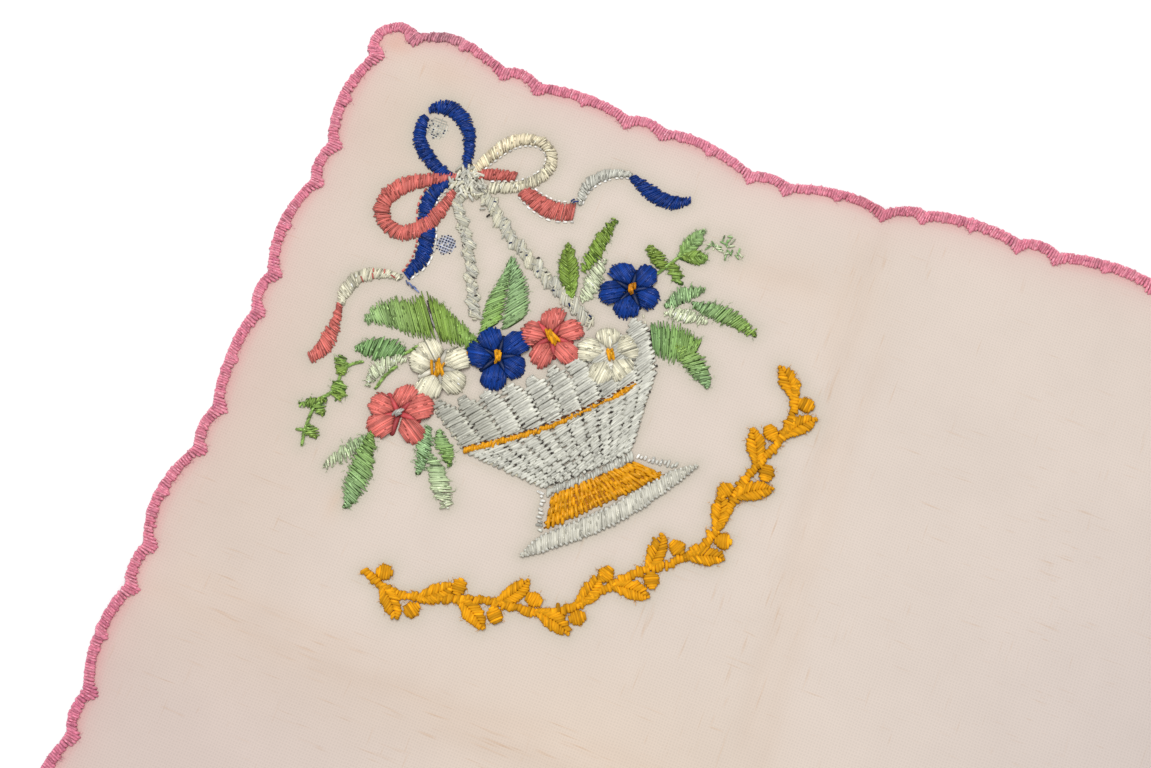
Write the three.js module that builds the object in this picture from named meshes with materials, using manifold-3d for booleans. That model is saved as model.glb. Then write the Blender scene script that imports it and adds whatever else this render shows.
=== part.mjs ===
// A small handkerchief of thin sheer cloth, unfolded and lying on a flat surface: a scalloped,
// whipped edge all round, soft ridges where it was folded in thirds, and one corner worked with a
// flower basket, a ribbon bow and a leafy spray in raised satin stitch. Millimetres, +Z up.
import * as THREE from "three";
import { mergeVertices } from "three/addons/utils/BufferGeometryUtils.js";
import Module from "manifold-3d";

// Cloth and edge
const CLOTH_THICK = 1.0;
const RIM_HIGH = 1.8; // crest of the whipped edge
const RIM_WIDE = 1.7; // from the outer edge to the inner ends of its stitches
const RIM_BROW = 0.55; // height of its outer face, as a share of the crest's
const RIM_CREST_AT = 0.45; // share of its width, from outside, at which the crest lies
const NIB = { notch: 0.9, middle: 0.7 }; // longer stitches that point inwards
const LARGE_COUNT = 12; // large scallops on each side, with a small one between each two
const REPEAT = { x: 19.75, y: 21 }; // one large and one small scallop
const LARGE_SHARE = 0.71; // of the repeat
const LARGE_RISE = { x: 1.0, y: 1.6 }; // how far a scallop stands out from the line of its notches
const SMALL_RISE = 0.7;
const LARGE_STEPS = 4;
const SMALL_STEPS = 3;
const CORNER_SET = 5.5; // from the corner of the notch lines to the first notch on each side
const CORNER_RISE = 3.0; // rounded lobe at each corner
const CORNER_STEPS = 5;

// Half the length of each side between its first and last notch, and the lines that the notches lie on
const RUN = {
  x: (LARGE_COUNT * REPEAT.x - (1 - LARGE_SHARE) * REPEAT.x) / 2,
  y: (LARGE_COUNT * REPEAT.y - (1 - LARGE_SHARE) * REPEAT.y) / 2,
};
const LINE = { x: RUN.x + CORNER_SET, y: RUN.y + CORNER_SET };

// How far each side has pulled outwards, by the distance along it from its left or upper corner
const UNEVEN = {
  top: [
    { along: 0, out: 0 },
    { along: 25, out: -0.4 },
    { along: 45, out: -0.4 },
    { along: 62, out: -2.1 },
    { along: 78, out: -0.7 },
    { along: 86, out: 1.6 },
    { along: 104, out: 2.5 },
    { along: 130, out: 4.0 },
    { along: 190, out: 1.6 },
    { along: 242, out: 0 },
  ],
  left: [
    { along: 0, out: 0 },
    { along: 44, out: 0.6 },
    { along: 66, out: -0.2 },
    { along: 140, out: 0.9 },
    { along: 205, out: -0.8 },
    { along: 257, out: 0 },
  ],
  right: [
    { along: 0, out: 0 },
    { along: 90, out: -1.2 },
    { along: 180, out: 1.0 },
    { along: 257, out: 0 },
  ],
  bottom: [
    { along: 0, out: 0 },
    { along: 70, out: 1.4 },
    { along: 118, out: 3.6 },
    { along: 185, out: -1.2 },
    { along: 242, out: 0 },
  ],
};

// Ridges left by folding in thirds. Each runs along one axis, at a place on the other, drifts sideways
// by a share of the distance run, and is highest near one place along it.
const RIDGES = [
  { runs: "y", at: -37.8, drift: -0.035, rise: 1.7, reach: 12, peak: 128, fade: 95 },
  { runs: "y", at: 40.5, drift: 0.02, rise: 1.3, reach: 13, peak: -60, fade: 130 },
  { runs: "x", at: 40.5, drift: 0.01, rise: 1.6, reach: 12, peak: -118, fade: 90 },
  { runs: "x", at: -42, drift: -0.02, rise: 1.4, reach: 14, peak: 70, fade: 120 },
];
// Low swells where the cloth stands off the surface
const SWELLS = [
  { x: 14, y: 72, rise: 2.4, wide: 34, long: 44 },
  { x: -92, y: 12, rise: 1.8, wide: 30, long: 24 },
  { x: -52, y: 121, rise: 1.2, wide: 14, long: 12 },
  { x: 84, y: 96, rise: 2.0, wide: 34, long: 30 },
  { x: 20, y: -20, rise: 1.5, wide: 22, long: 24 },
  { x: 88, y: -12, rise: 1.7, wide: 28, long: 32 },
  { x: -80, y: -88, rise: 2.1, wide: 34, long: 30 },
  { x: 12, y: -96, rise: 1.6, wide: 30, long: 26 },
];
const RIDGE_LEAST = 0.45; // share of a ridge's rise that is left far from its peak
const GRID_INSET = 6.5; // from the notch lines to the even part of the sheet
const GRID_STEP = 16;
const RIDGE_STEPS = [-9, -4, 0, 4, 9]; // mesh lines beside each ridge
const RIDGE_CLEAR = 18; // no other mesh lines lie this near to a ridge

// Corner embroidery. Its own axes: s runs across, t runs towards the corner, from the basket's waist.
const MOTIF_AT = { x: -68.5, y: 76.7 };
const STITCH_HIGH = 0.7; // raised satin stitch, above the cloth
const STITCH_SINK = 0.5; // how deep a raised piece is rooted in the cloth
const STITCH_SLOPE = 0.5; // width of the sloping flank round a raised piece
const LEAST_CROWN = 0.4; // least width of a band's crown, as a share of the band's
const DOT_CROWN = 0.6; // the same for a round dot
const DOT_SIDES = 6;
const TOP_LIFT = 0.2; // dots and bands worked over other stitches stand this much higher
const LAYER_LIFT = 0.006; // each further piece lies this much higher, as stitches overlap

const FLOWERS = [
  { s: -20.9, t: 18.5, radius: 4.4, turn: 12 },
  { s: -13.5, t: 21.9, radius: 4.3, turn: 40 },
  { s: -5.1, t: 20.0, radius: 4.4, turn: 25 },
  { s: 3.0, t: 19.5, radius: 4.3, turn: 8 },
  { s: 9.5, t: 13.9, radius: 4.0, turn: 30 },
  { s: 16.3, t: 21.4, radius: 4.4, turn: 20 },
];
const PETALS = 5;
const PETAL_STEPS = 5;
const PETAL_DIP = 0.3; // depth of the dents between petals, as a share of the radius
const PETAL_ROUND = 0.6; // under 1 gives broad petal ends
const PETAL_CROWN = 0.7;
const FLOWER_EYE = 1.0;

// Leaves from base to tip, bowed sideways to the left of that line
const LEAVES = [
  { s: -12.2, t: 27.2, tipS: -20.4, tipT: 32.7, wide: 3.5, bow: -1.2 },
  { s: -12.0, t: 26.4, tipS: -10.5, tipT: 32.6, wide: 3.0, bow: 0 },
  { s: -9.9, t: 30.0, tipS: -6.8, tipT: 23.3, wide: 3.4, bow: 0 },
  { s: -17.4, t: 25.8, tipS: -23.0, tipT: 29.4, wide: 2.6, bow: -0.4 },
  { s: -18.3, t: 26.0, tipS: -23.2, tipT: 23.6, wide: 1.6, bow: -0.9 },
  { s: -25.3, t: 29.2, tipS: -26.5, tipT: 26.4, wide: 1.8, bow: 0 },
  { s: -27.0, t: 25.9, tipS: -28.2, tipT: 23.2, wide: 2.2, bow: 0 },
  { s: -29.6, t: 23.9, tipS: -33.4, tipT: 25.1, wide: 1.1, bow: 0 },
  { s: -31.1, t: 24.4, tipS: -30.9, tipT: 22.0, wide: 1.5, bow: 0 },
  { s: -33.4, t: 21.9, tipS: -33.2, tipT: 19.4, wide: 1.4, bow: 0 },
  { s: -26.7, t: 17.1, tipS: -33.6, tipT: 15.7, wide: 1.6, bow: 0.3 },
  { s: -25.7, t: 16.9, tipS: -32.5, tipT: 8.7, wide: 2.7, bow: 0.4 },
  { s: -17.9, t: 14.8, tipS: -21.9, tipT: 9.0, wide: 2.0, bow: 0 },
  { s: -16.9, t: 13.7, tipS: -17.3, tipT: 8.2, wide: 1.9, bow: 0 },
  { s: -19.1, t: 11.1, tipS: -19.9, tipT: 3.1, wide: 2.0, bow: 0 },
  { s: -1.8, t: 24.6, tipS: 2.4, tipT: 32.7, wide: 5.4, bow: 0 },
  { s: 7.9, t: 23.5, tipS: 10.8, tipT: 31.5, wide: 2.7, bow: 0.2 },
  { s: 10.9, t: 26.8, tipS: 18.5, tipT: 32.0, wide: 2.2, bow: 0 },
  { s: 8.9, t: 22.6, tipS: 14.8, tipT: 27.1, wide: 2.3, bow: 0 },
  { s: 21.8, t: 22.4, tipS: 21.4, tipT: 26.5, wide: 2.1, bow: 0 },
  { s: 23.2, t: 22.7, tipS: 22.8, tipT: 19.3, wide: 1.8, bow: 0 },
  { s: 24.4, t: 23.1, tipS: 29.6, tipT: 25.4, wide: 2.1, bow: 0 },
  { s: 24.7, t: 23.2, tipS: 28.2, tipT: 21.4, wide: 2.1, bow: 0 },
  { s: 19.6, t: 17.2, tipS: 25.9, tipT: 17.1, wide: 2.1, bow: 0.6 },
  { s: 23.3, t: 16.0, tipS: 29.6, tipT: 8.0, wide: 2.7, bow: 0.7 },
  { s: 19.1, t: 16.5, tipS: 24.3, tipT: 12.8, wide: 1.9, bow: 0.2 },
  { s: 16.7, t: 15.8, tipS: 22.2, tipT: 10.0, wide: 2.7, bow: 0.2 },
  { s: 16.1, t: 13.6, tipS: 18.3, tipT: 9.3, wide: 2.6, bow: 0 },
  { s: 19.1, t: 11.1, tipS: 19.9, tipT: 3.8, wide: 2.8, bow: 0.6 },
];
// Stations along a leaf: the share of its length, and of its width there
const LEAF_STATIONS = [
  { at: 0.18, wide: 0.66 },
  { at: 0.5, wide: 1 },
  { at: 0.82, wide: 0.6 },
];
const LEAF_CROWN = { wide: 0.45, trim: 0.12 }; // shares of the leaf's width and length

// Bow: a loop of ribbon is a drop that leaves the knot, turns and comes back
const KNOT = { s: 0.5, t: 47, radius: 1.7 };
const RIBBON_WIDE = 2.0;
const LOOPS = [
  { heading: 84, long: 11.6, wide: 8.4 },
  { heading: 187, long: 13.4, wide: 8.6 },
  { heading: -9, long: 14.2, wide: 7.4 },
];
const LOOP_STEPS = 12;
const LOOP_MOUTH = 0.13; // share of the turn, at each end, that lies under the knot
const LOOP_FULL = 1.15; // makes up for the width that the drop's taper takes off
// One waving tail, given for the right-hand side; the other is its mirror image about the bow
const TAIL = [
  { s: 6.4, t: 42.6 },
  { s: 9.4, t: 38.4 },
  { s: 13.4, t: 35.6 },
  { s: 17.4, t: 38.6 },
  { s: 21.4, t: 38.3 },
  { s: 25.0, t: 33.2 },
  { s: 29.6, t: 30.3 },
];
const TAIL_STEPS = 12;

// Basket: rows of upright ribs above and below a band, on a waisted foot
const HANDLES = [
  { fromS: -0.4, fromT: 45.7, viaS: -3.2, viaT: 35, toS: -6.2, toT: 25.6, wide: 1.3 },
  { fromS: 1.7, fromT: 45.5, viaS: 3.9, viaT: 35, toS: 9.4, toT: 18.6, wide: 1.7 },
];
const RIM_LINE = { half: 16.6, ends: 17.4, middle: 15.4 };
const BAND_LINE = { half: 14.6, ends: 9.3, middle: 8.2 };
const WAIST_LINE = { half: 6.6, ends: 0, middle: -0.4 };
const HANDLE_STEPS = 6;
const UPPER_RIBS = 10;
const LOWER_RIBS = 12;
const RIB_FILL = 0.92; // the rest is the gap between ribs
const RIB_TIP = 0.55; // width of a rib's rounded end, as a share of its own
const RIB_OVERRUN = { upper: 0.12, lower: 0.02 }; // how far the ends pass the rim and the waist
const BAND_WIDE = 1.1;
const BAND_STATIONS = [-1, -0.5, 0, 0.5, 1];
const FOOT = { topHalf: 5.9, topT: -1.0, lowHalf: 9.1, lowT: -4.8 };
const BASE = { half: 13.8, t: -6.9, lift: 0.7, wide: 2.5, end: 0.12 };
const BASE_STATIONS = [-1, -0.6, 0, 0.6, 1];

// Leafy spray in an arc below the basket
const SPRAY = { s: -1, t: 24.4, radius: 41, from: 217, to: 323, wave: 0.9, waves: 3.5, wide: 1.2 };
const SPRAY_STEPS = 28;
const SPRAY_LEAVES = 14;
const SPRAY_LEAF = { long: 5.6, wide: 2.5, lean: 38, bow: 0.4 };
const BERRY = { radius: 1.15, off: 1.65 };

const SHEET_COLOUR = 0xe4d6cb;
const SHEET_ROUGHNESS = 0.85;

const wasm = await Module();
wasm.setup();

const smooth = (q) => q * q * (3 - 2 * q);
const clamp01 = (q) => Math.min(1, Math.max(0, q));
const radians = THREE.MathUtils.degToRad;

// Value of an edge table at a distance along its side, with soft turns between its rows
function pulledOut(rows, along) {
  const next = rows.findIndex((row) => row.along >= along);
  if (next <= 0) return rows[next === 0 ? 0 : rows.length - 1].out;
  const a = rows[next - 1];
  const b = rows[next];
  return a.out + (b.out - a.out) * smooth((along - a.along) / (b.along - a.along));
}

// Where a point of the flat cloth lies once its sides have pulled out of line
function pulled(x, y) {
  const reachX = (x / LINE.x) ** 2;
  const reachY = (y / LINE.y) ** 2;
  const sideX = x < 0 ? UNEVEN.left : UNEVEN.right;
  const sideY = y < 0 ? UNEVEN.bottom : UNEVEN.top;
  return [
    x + Math.sign(x) * reachX * pulledOut(sideX, LINE.y - y),
    y + Math.sign(y) * reachY * pulledOut(sideY, x + LINE.x),
  ];
}

// Height of the cloth's underside: 0 where it lies on the surface
function foldHeight(x, y) {
  const ridges = RIDGES.map((r) => {
    const along = r.runs === "y" ? y : x;
    const across = (r.runs === "y" ? x : y) - r.at - r.drift * along;
    const side = clamp01(1 - Math.abs(across) / r.reach) ** 2;
    const nearPeak = Math.exp(-(((along - r.peak) / r.fade) ** 2));
    return r.rise * side * (RIDGE_LEAST + (1 - RIDGE_LEAST) * nearPeak);
  });
  const swells = SWELLS.map((w) => {
    const far = ((x - w.x) / w.wide) ** 2 + ((y - w.y) / w.long) ** 2;
    return w.rise * clamp01(1 - far) ** 2;
  });
  return Math.max(...ridges) + Math.max(...swells);
}

// A closed shell under construction: vertices, and triangles that name them
class Shell {
  constructor() {
    this.points = [];
    this.faces = [];
  }

  add(x, y, z) {
    this.points.push(x, y, z);
    return this.points.length / 3 - 1;
  }

  // Cloth-level vertices: each z is a height above the folded underside
  lay(loop, z) {
    return loop.map(([x, y]) => this.add(x, y, z + foldHeight(x, y)));
  }

  // Wall between two loops with as many points each, the second inside or above the first
  wall(first, second) {
    first.forEach((a, i) => {
      const j = (i + 1) % first.length;
      this.faces.push([a, first[j], second[j]], [a, second[j], second[i]]);
    });
  }

  // Flat ring between an outer and an inner loop, taking up the points of both in turn
  ring(outer, inner) {
    const turn = (v) => Math.atan2(this.points[v * 3 + 1], this.points[v * 3]);
    const sorted = (loop) => {
      const start = loop.indexOf(loop.reduce((a, b) => (turn(b) < turn(a) ? b : a)));
      return [...loop.slice(start), ...loop.slice(0, start)];
    };
    const a = sorted(outer);
    const b = sorted(inner);
    const full = 2 * Math.PI;
    const turnAt = (loop, i) => turn(loop[i % loop.length]) + (i < loop.length ? 0 : full);
    let i = 0;
    let j = 0;
    while (i < a.length || j < b.length) {
      const outerNext = j === b.length || (i < a.length && turnAt(a, i + 1) <= turnAt(b, j + 1));
      const here = a[i % a.length];
      const there = b[j % b.length];
      if (outerNext) this.faces.push([here, a[(i + 1) % a.length], there]);
      else this.faces.push([here, b[(j + 1) % b.length], there]);
      if (outerNext) i += 1;
      else j += 1;
    }
  }

  // Cap over a flat-lying outline, facing up or down
  cap(loop, up) {
    const flat = loop.map((v) => new THREE.Vector2(this.points[v * 3], this.points[v * 3 + 1]));
    for (const [a, b, c] of THREE.ShapeUtils.triangulateShape(flat, [])) {
      this.faces.push(up ? [loop[a], loop[b], loop[c]] : [loop[a], loop[c], loop[b]]);
    }
  }

  solid() {
    const geometry = new THREE.BufferGeometry();
    geometry.setAttribute("position", new THREE.Float32BufferAttribute(this.points, 3));
    geometry.setIndex(this.faces.flat());
    const merged = mergeVertices(geometry);
    const vertProperties = merged.attributes.position.array;
    const triVerts = new Uint32Array(merged.index.array);
    return new wasm.Manifold(new wasm.Mesh({ numProp: 3, vertProperties, triVerts }));
  }
}

// Points of one scallop from notch a towards notch b, the last one left to the next scallop
function scallop(a, b, rise, steps, middleNib) {
  const along = new THREE.Vector2().subVectors(b, a);
  const out = new THREE.Vector2(along.y, -along.x).normalize();
  return Array.from({ length: steps }, (_, i) => {
    const q = i / steps;
    const at = a.clone().addScaledVector(along, q).addScaledVector(out, rise * 4 * q * (1 - q));
    const nib = i === 0 ? NIB.notch : i * 2 === steps ? middleNib : 0;
    return { at, nib };
  });
}

// The whole edge, counter-clockwise from the lower left: four sides and four corner lobes
function edgePoints() {
  const sides = [
    { from: [-RUN.x, -LINE.y], step: [1, 0], axis: "x" },
    { from: [LINE.x, -RUN.y], step: [0, 1], axis: "y" },
    { from: [RUN.x, LINE.y], step: [-1, 0], axis: "x" },
    { from: [-LINE.x, RUN.y], step: [0, -1], axis: "y" },
  ];
  return sides.flatMap(({ from, step, axis }, side) => {
    const way = new THREE.Vector2(...step);
    const large = REPEAT[axis] * LARGE_SHARE;
    const small = REPEAT[axis] - large;
    let notch = new THREE.Vector2(...from);
    const points = [];
    for (let i = 0; i < LARGE_COUNT; i += 1) {
      const middle = notch.clone().addScaledVector(way, large);
      points.push(...scallop(notch, middle, LARGE_RISE[axis], LARGE_STEPS, NIB.middle));
      notch = middle;
      if (i === LARGE_COUNT - 1) break;
      const end = middle.clone().addScaledVector(way, small);
      points.push(...scallop(middle, end, SMALL_RISE, SMALL_STEPS, 0));
      notch = end;
    }
    const nextSide = new THREE.Vector2(...sides[(side + 1) % sides.length].from);
    return [...points, ...scallop(notch, nextSide, CORNER_RISE, CORNER_STEPS, 0)];
  });
}

// The edge moved inwards, with or without its longer stitches, where it really lies
function edgeLoop(edge, inset, nibs) {
  return edge.map(({ at, nib }, i) => {
    const before = edge[(i + edge.length - 1) % edge.length].at;
    const after = edge[(i + 1) % edge.length].at;
    const along = new THREE.Vector2().subVectors(after, before).normalize();
    const depth = inset + (nibs ? nib : 0);
    return pulled(at.x - along.y * depth, at.y + along.x * depth);
  });
}

// Mesh lines across the even part of the sheet, closer together beside the ridges
function gridLines(half, runs) {
  const ridges = RIDGES.filter((r) => r.runs === runs);
  const near = ridges.flatMap((r) => RIDGE_STEPS.map((d) => r.at + d));
  const clear = (v) => ridges.every((r) => Math.abs(v - r.at) > RIDGE_CLEAR);
  const count = Math.round((2 * half) / GRID_STEP);
  const even = Array.from({ length: count + 1 }, (_, i) => -half + (2 * half * i) / count);
  return [...near, ...even.filter(clear)].sort((a, b) => a - b);
}

// The cloth with its whipped edge
function clothSolid() {
  const shell = new Shell();
  const edge = edgePoints();
  const foot = shell.lay(edgeLoop(edge, 0, false), 0);
  const brow = shell.lay(edgeLoop(edge, 0, false), RIM_HIGH * RIM_BROW);
  const crest = shell.lay(edgeLoop(edge, RIM_WIDE * RIM_CREST_AT, false), RIM_HIGH);
  const inner = shell.lay(edgeLoop(edge, RIM_WIDE, true), CLOTH_THICK);
  shell.wall(foot, brow);
  shell.wall(brow, crest);
  shell.wall(crest, inner);

  const xs = gridLines(LINE.x - GRID_INSET, "y");
  const ys = gridLines(LINE.y - GRID_INSET, "x");
  const face = (z) => ys.map((y) => shell.lay(xs.map((x) => pulled(x, y)), z));
  const upper = face(CLOTH_THICK);
  const under = face(0);
  for (let j = 0; j + 1 < ys.length; j += 1) {
    for (let i = 0; i + 1 < xs.length; i += 1) {
      const corners = (rows) => [rows[j][i], rows[j][i + 1], rows[j + 1][i + 1], rows[j + 1][i]];
      const [a, b, c, d] = corners(upper);
      const [e, f, g, h] = corners(under);
      shell.faces.push([a, b, c], [a, c, d], [e, g, f], [e, h, g]);
    }
  }
  const border = (rows) => [
    ...rows[0],
    ...rows.slice(1).map((row) => row[row.length - 1]),
    ...rows[rows.length - 1].slice(0, -1).reverse(),
    ...rows.slice(1, -1).reverse().map((row) => row[0]),
  ];
  shell.ring(inner, border(upper));
  const firstUnder = shell.faces.length;
  shell.ring(foot, border(under));
  shell.faces.slice(firstUnder).forEach((triangle) => triangle.reverse());
  return shell.solid();
}

// Embroidery point on the cloth
function onCloth([s, t]) {
  const half = Math.SQRT1_2;
  return [MOTIF_AT.x + (s - t) * half, MOTIF_AT.y + (s + t) * half];
}

// One raised patch of satin stitch: its outline on the cloth and the smaller outline of its crown
let layer = 0;
function patch(outline, crown, high = STITCH_HIGH) {
  const shell = new Shell();
  layer += 1;
  const lift = layer * LAYER_LIFT;
  const root = shell.lay(outline.map(onCloth), CLOTH_THICK - STITCH_SINK + lift / 2);
  const top = shell.lay(crown.map(onCloth), CLOTH_THICK + high + lift);
  shell.wall(root, top);
  shell.cap(root, false);
  shell.cap(top, true);
  return shell.solid();
}

// Outline round a line of stations, each with its place and its half width, left side first
function bandOutline(stations, slope) {
  const last = stations.length - 1;
  const sides = stations.map(({ s, t, half }, i) => {
    const a = stations[Math.max(0, i - 1)];
    const b = stations[Math.min(last, i + 1)];
    const way = new THREE.Vector2(b.s - a.s, b.t - a.t).normalize();
    const slip = i === 0 ? slope : i === last ? -slope : 0;
    const at = [s + way.x * slip, t + way.y * slip];
    const out = Math.max(half - slope, half * LEAST_CROWN);
    return {
      left: [at[0] - way.y * out, at[1] + way.x * out],
      right: [at[0] + way.y * out, at[1] - way.x * out],
    };
  });
  return [...sides.map((e) => e.right), ...sides.reverse().map((e) => e.left)];
}

// A band of satin stitch along a row of stations
function band(stations, high = STITCH_HIGH) {
  const narrowest = Math.min(...stations.map((e) => e.half));
  const slope = Math.min(STITCH_SLOPE, narrowest / 2);
  return patch(bandOutline(stations, 0), bandOutline(stations, slope), high);
}

// A band along a smooth curve through a few points
function ribbon(points, wide, steps) {
  const curve = new THREE.SplineCurve(points.map(({ s, t }) => new THREE.Vector2(s, t)));
  const stations = curve.getPoints(steps).map((p) => ({ s: p.x, t: p.y, half: wide / 2 }));
  return band(stations);
}

function flower({ s, t, radius, turn }) {
  const count = PETALS * PETAL_STEPS;
  const ring = (share) =>
    Array.from({ length: count }, (_, i) => {
      const petal = Math.abs(Math.sin((Math.PI * i) / PETAL_STEPS));
      const r = radius * share * (1 - PETAL_DIP + PETAL_DIP * petal ** PETAL_ROUND);
      const angle = (2 * Math.PI * i) / count + radians(turn);
      return [s + r * Math.cos(angle), t + r * Math.sin(angle)];
    });
  return [patch(ring(1), ring(PETAL_CROWN)), dot({ s, t }, FLOWER_EYE, STITCH_HIGH + TOP_LIFT)];
}

function dot({ s, t }, radius, high) {
  const ring = (share) =>
    Array.from({ length: DOT_SIDES }, (_, i) => {
      const angle = (2 * Math.PI * (i + 0.5)) / DOT_SIDES;
      return [s + radius * share * Math.cos(angle), t + radius * share * Math.sin(angle)];
    });
  return patch(ring(1), ring(DOT_CROWN), high);
}

function leaf({ s, t, tipS, tipT, wide, bow }) {
  const along = new THREE.Vector2(tipS - s, tipT - t);
  const aside = new THREE.Vector2(-along.y, along.x).normalize();
  const place = (q) => {
    const off = bow * 4 * q * (1 - q);
    return [s + along.x * q + aside.x * off, t + along.y * q + aside.y * off];
  };
  const outline = (share, trim) => {
    const side = (sign) =>
      LEAF_STATIONS.map((station) => {
        const [ps, pt] = place(trim + station.at * (1 - 2 * trim));
        const out = (sign * station.wide * share * wide) / 2;
        return [ps + aside.x * out, pt + aside.y * out];
      });
    return [place(trim), ...side(-1), place(1 - trim), ...side(1).reverse()];
  };
  return patch(outline(1, 0), outline(LEAF_CROWN.wide, LEAF_CROWN.trim));
}

function bowLoop({ heading, long, wide }) {
  const way = new THREE.Vector2(Math.cos(radians(heading)), Math.sin(radians(heading)));
  const points = Array.from({ length: LOOP_STEPS + 1 }, (_, i) => {
    const u = 2 * Math.PI * (LOOP_MOUTH + (1 - 2 * LOOP_MOUTH) * (i / LOOP_STEPS));
    const out = (long * (1 - Math.cos(u))) / 2;
    const aside = (wide / 2) * LOOP_FULL * Math.sin(u) * Math.sqrt(Math.sin(u / 2));
    return { s: KNOT.s + way.x * out - way.y * aside, t: KNOT.t + way.y * out + way.x * aside };
  });
  return ribbon(points, RIBBON_WIDE, LOOP_STEPS);
}

function bow() {
  const mirrored = TAIL.map(({ s, t }) => ({ s: 2 * KNOT.s - s, t }));
  const tails = [TAIL, mirrored].map((points) => ribbon(points, RIBBON_WIDE, TAIL_STEPS));
  return [...LOOPS.map(bowLoop), ...tails, dot(KNOT, KNOT.radius, STITCH_HIGH + TOP_LIFT)];
}

// Place on one of the basket's cross lines, from -1 at its left end to 1 at its right
const onLine = (line, q) => ({ s: line.half * q, t: line.middle + (line.ends - line.middle) * q * q });

function ribs(lower, upper, count, overrun) {
  return Array.from({ length: count }, (_, i) => {
    const q = (2 * i + 1) / count - 1;
    const a = onLine(lower, q);
    const b = onLine(upper, q);
    const fill = RIB_FILL / count;
    const way = { s: (b.s - a.s) * overrun, t: (b.t - a.t) * overrun };
    return band([
      { s: a.s, t: a.t, half: lower.half * fill },
      { s: b.s, t: b.t, half: upper.half * fill },
      { s: b.s + way.s, t: b.t + way.t, half: upper.half * fill * RIB_TIP },
    ]);
  });
}

function basket() {
  const handles = HANDLES.map((h) => {
    const points = [
      { s: h.fromS, t: h.fromT },
      { s: h.viaS, t: h.viaT },
      { s: h.toS, t: h.toT },
    ];
    return ribbon(points, h.wide, HANDLE_STEPS);
  });
  const girdle = BAND_STATIONS.map((q) => ({ ...onLine(BAND_LINE, q), half: BAND_WIDE / 2 }));
  const foot = band([
    { s: 0, t: FOOT.topT, half: FOOT.topHalf },
    { s: 0, t: FOOT.lowT, half: FOOT.lowHalf },
  ]);
  const base = BASE_STATIONS.map((q) => ({
    s: BASE.half * q,
    t: BASE.t + BASE.lift * q * q,
    half: (BASE.wide / 2) * (1 + BASE.end - q * q),
  }));
  return [
    ...handles,
    ...ribs(BAND_LINE, RIM_LINE, UPPER_RIBS, RIB_OVERRUN.upper),
    ...ribs(BAND_LINE, WAIST_LINE, LOWER_RIBS, RIB_OVERRUN.lower),
    band(girdle, STITCH_HIGH + TOP_LIFT),
    foot,
    band(base),
  ];
}

// Point of the spray at a share of its length, moved outwards from the arc's centre
function onSpray(q, off) {
  const angle = radians(SPRAY.from + (SPRAY.to - SPRAY.from) * q);
  const r = SPRAY.radius + off;
  return { s: SPRAY.s + r * Math.cos(angle), t: SPRAY.t + r * Math.sin(angle) };
}

function spray() {
  const waveAt = (q) => SPRAY.wave * Math.sin(2 * Math.PI * SPRAY.waves * q);
  const stem = Array.from({ length: SPRAY_STEPS + 1 }, (_, i) => {
    const q = i / SPRAY_STEPS;
    return { ...onSpray(q, waveAt(q)), half: SPRAY.wide / 2 };
  });
  const tilt = radians(SPRAY_LEAF.lean);
  const twigs = Array.from({ length: SPRAY_LEAVES }, (_, i) => {
    const q = (i + 0.5) / SPRAY_LEAVES;
    const side = i % 2 === 0 ? 1 : -1;
    const root = onSpray(q, waveAt(q));
    const along = radians(SPRAY.from + (SPRAY.to - SPRAY.from) * q + 90);
    const heading = along - side * tilt;
    const tip = {
      tipS: root.s + SPRAY_LEAF.long * Math.cos(heading),
      tipT: root.t + SPRAY_LEAF.long * Math.sin(heading),
    };
    const berry = onSpray(q, waveAt(q) - side * BERRY.off);
    return [
      leaf({ ...root, ...tip, wide: SPRAY_LEAF.wide, bow: side * SPRAY_LEAF.bow }),
      dot(berry, BERRY.radius, STITCH_HIGH),
    ];
  });
  return [band(stem), ...twigs.flat()];
}

// Cloth and raised stitching are one piece
function handkerchiefGeometry() {
  const raised = [...LEAVES.map(leaf), ...basket(), ...FLOWERS.flatMap(flower), ...bow(), ...spray()];
  const whole = raised.reduce((sum, piece) => sum.add(piece), clothSolid());
  const mesh = whole.getMesh();
  const geometry = new THREE.BufferGeometry();
  geometry.setAttribute("position", new THREE.BufferAttribute(mesh.vertProperties, 3));
  geometry.setIndex(new THREE.BufferAttribute(mesh.triVerts, 1));
  return geometry;
}

const material = new THREE.MeshStandardMaterial({
  color: SHEET_COLOUR,
  roughness: SHEET_ROUGHNESS,
  metalness: 0,
});
const handkerchief = new THREE.Mesh(handkerchiefGeometry(), material);
handkerchief.name = "handkerchief";

const part = new THREE.Group();
part.add(handkerchief);

export default part;
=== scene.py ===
"""A sheer handkerchief, unfolded: scalloped pink edge, fold marks and one embroidered corner.

The cloth is a thin sheet lying on the folds of its solid, and every stitch of the edge and of the
embroidery is a small arched strand sewn into it. Sizes are in millimetres, in the part's own frame;
meshes are made in metres.
"""
import logging
import math
from dataclasses import dataclass, field, replace
from enum import Enum
from typing import NamedTuple

import bpy
import numpy as np
from mathutils import Matrix, Vector
from mathutils.kdtree import KDTree


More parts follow.
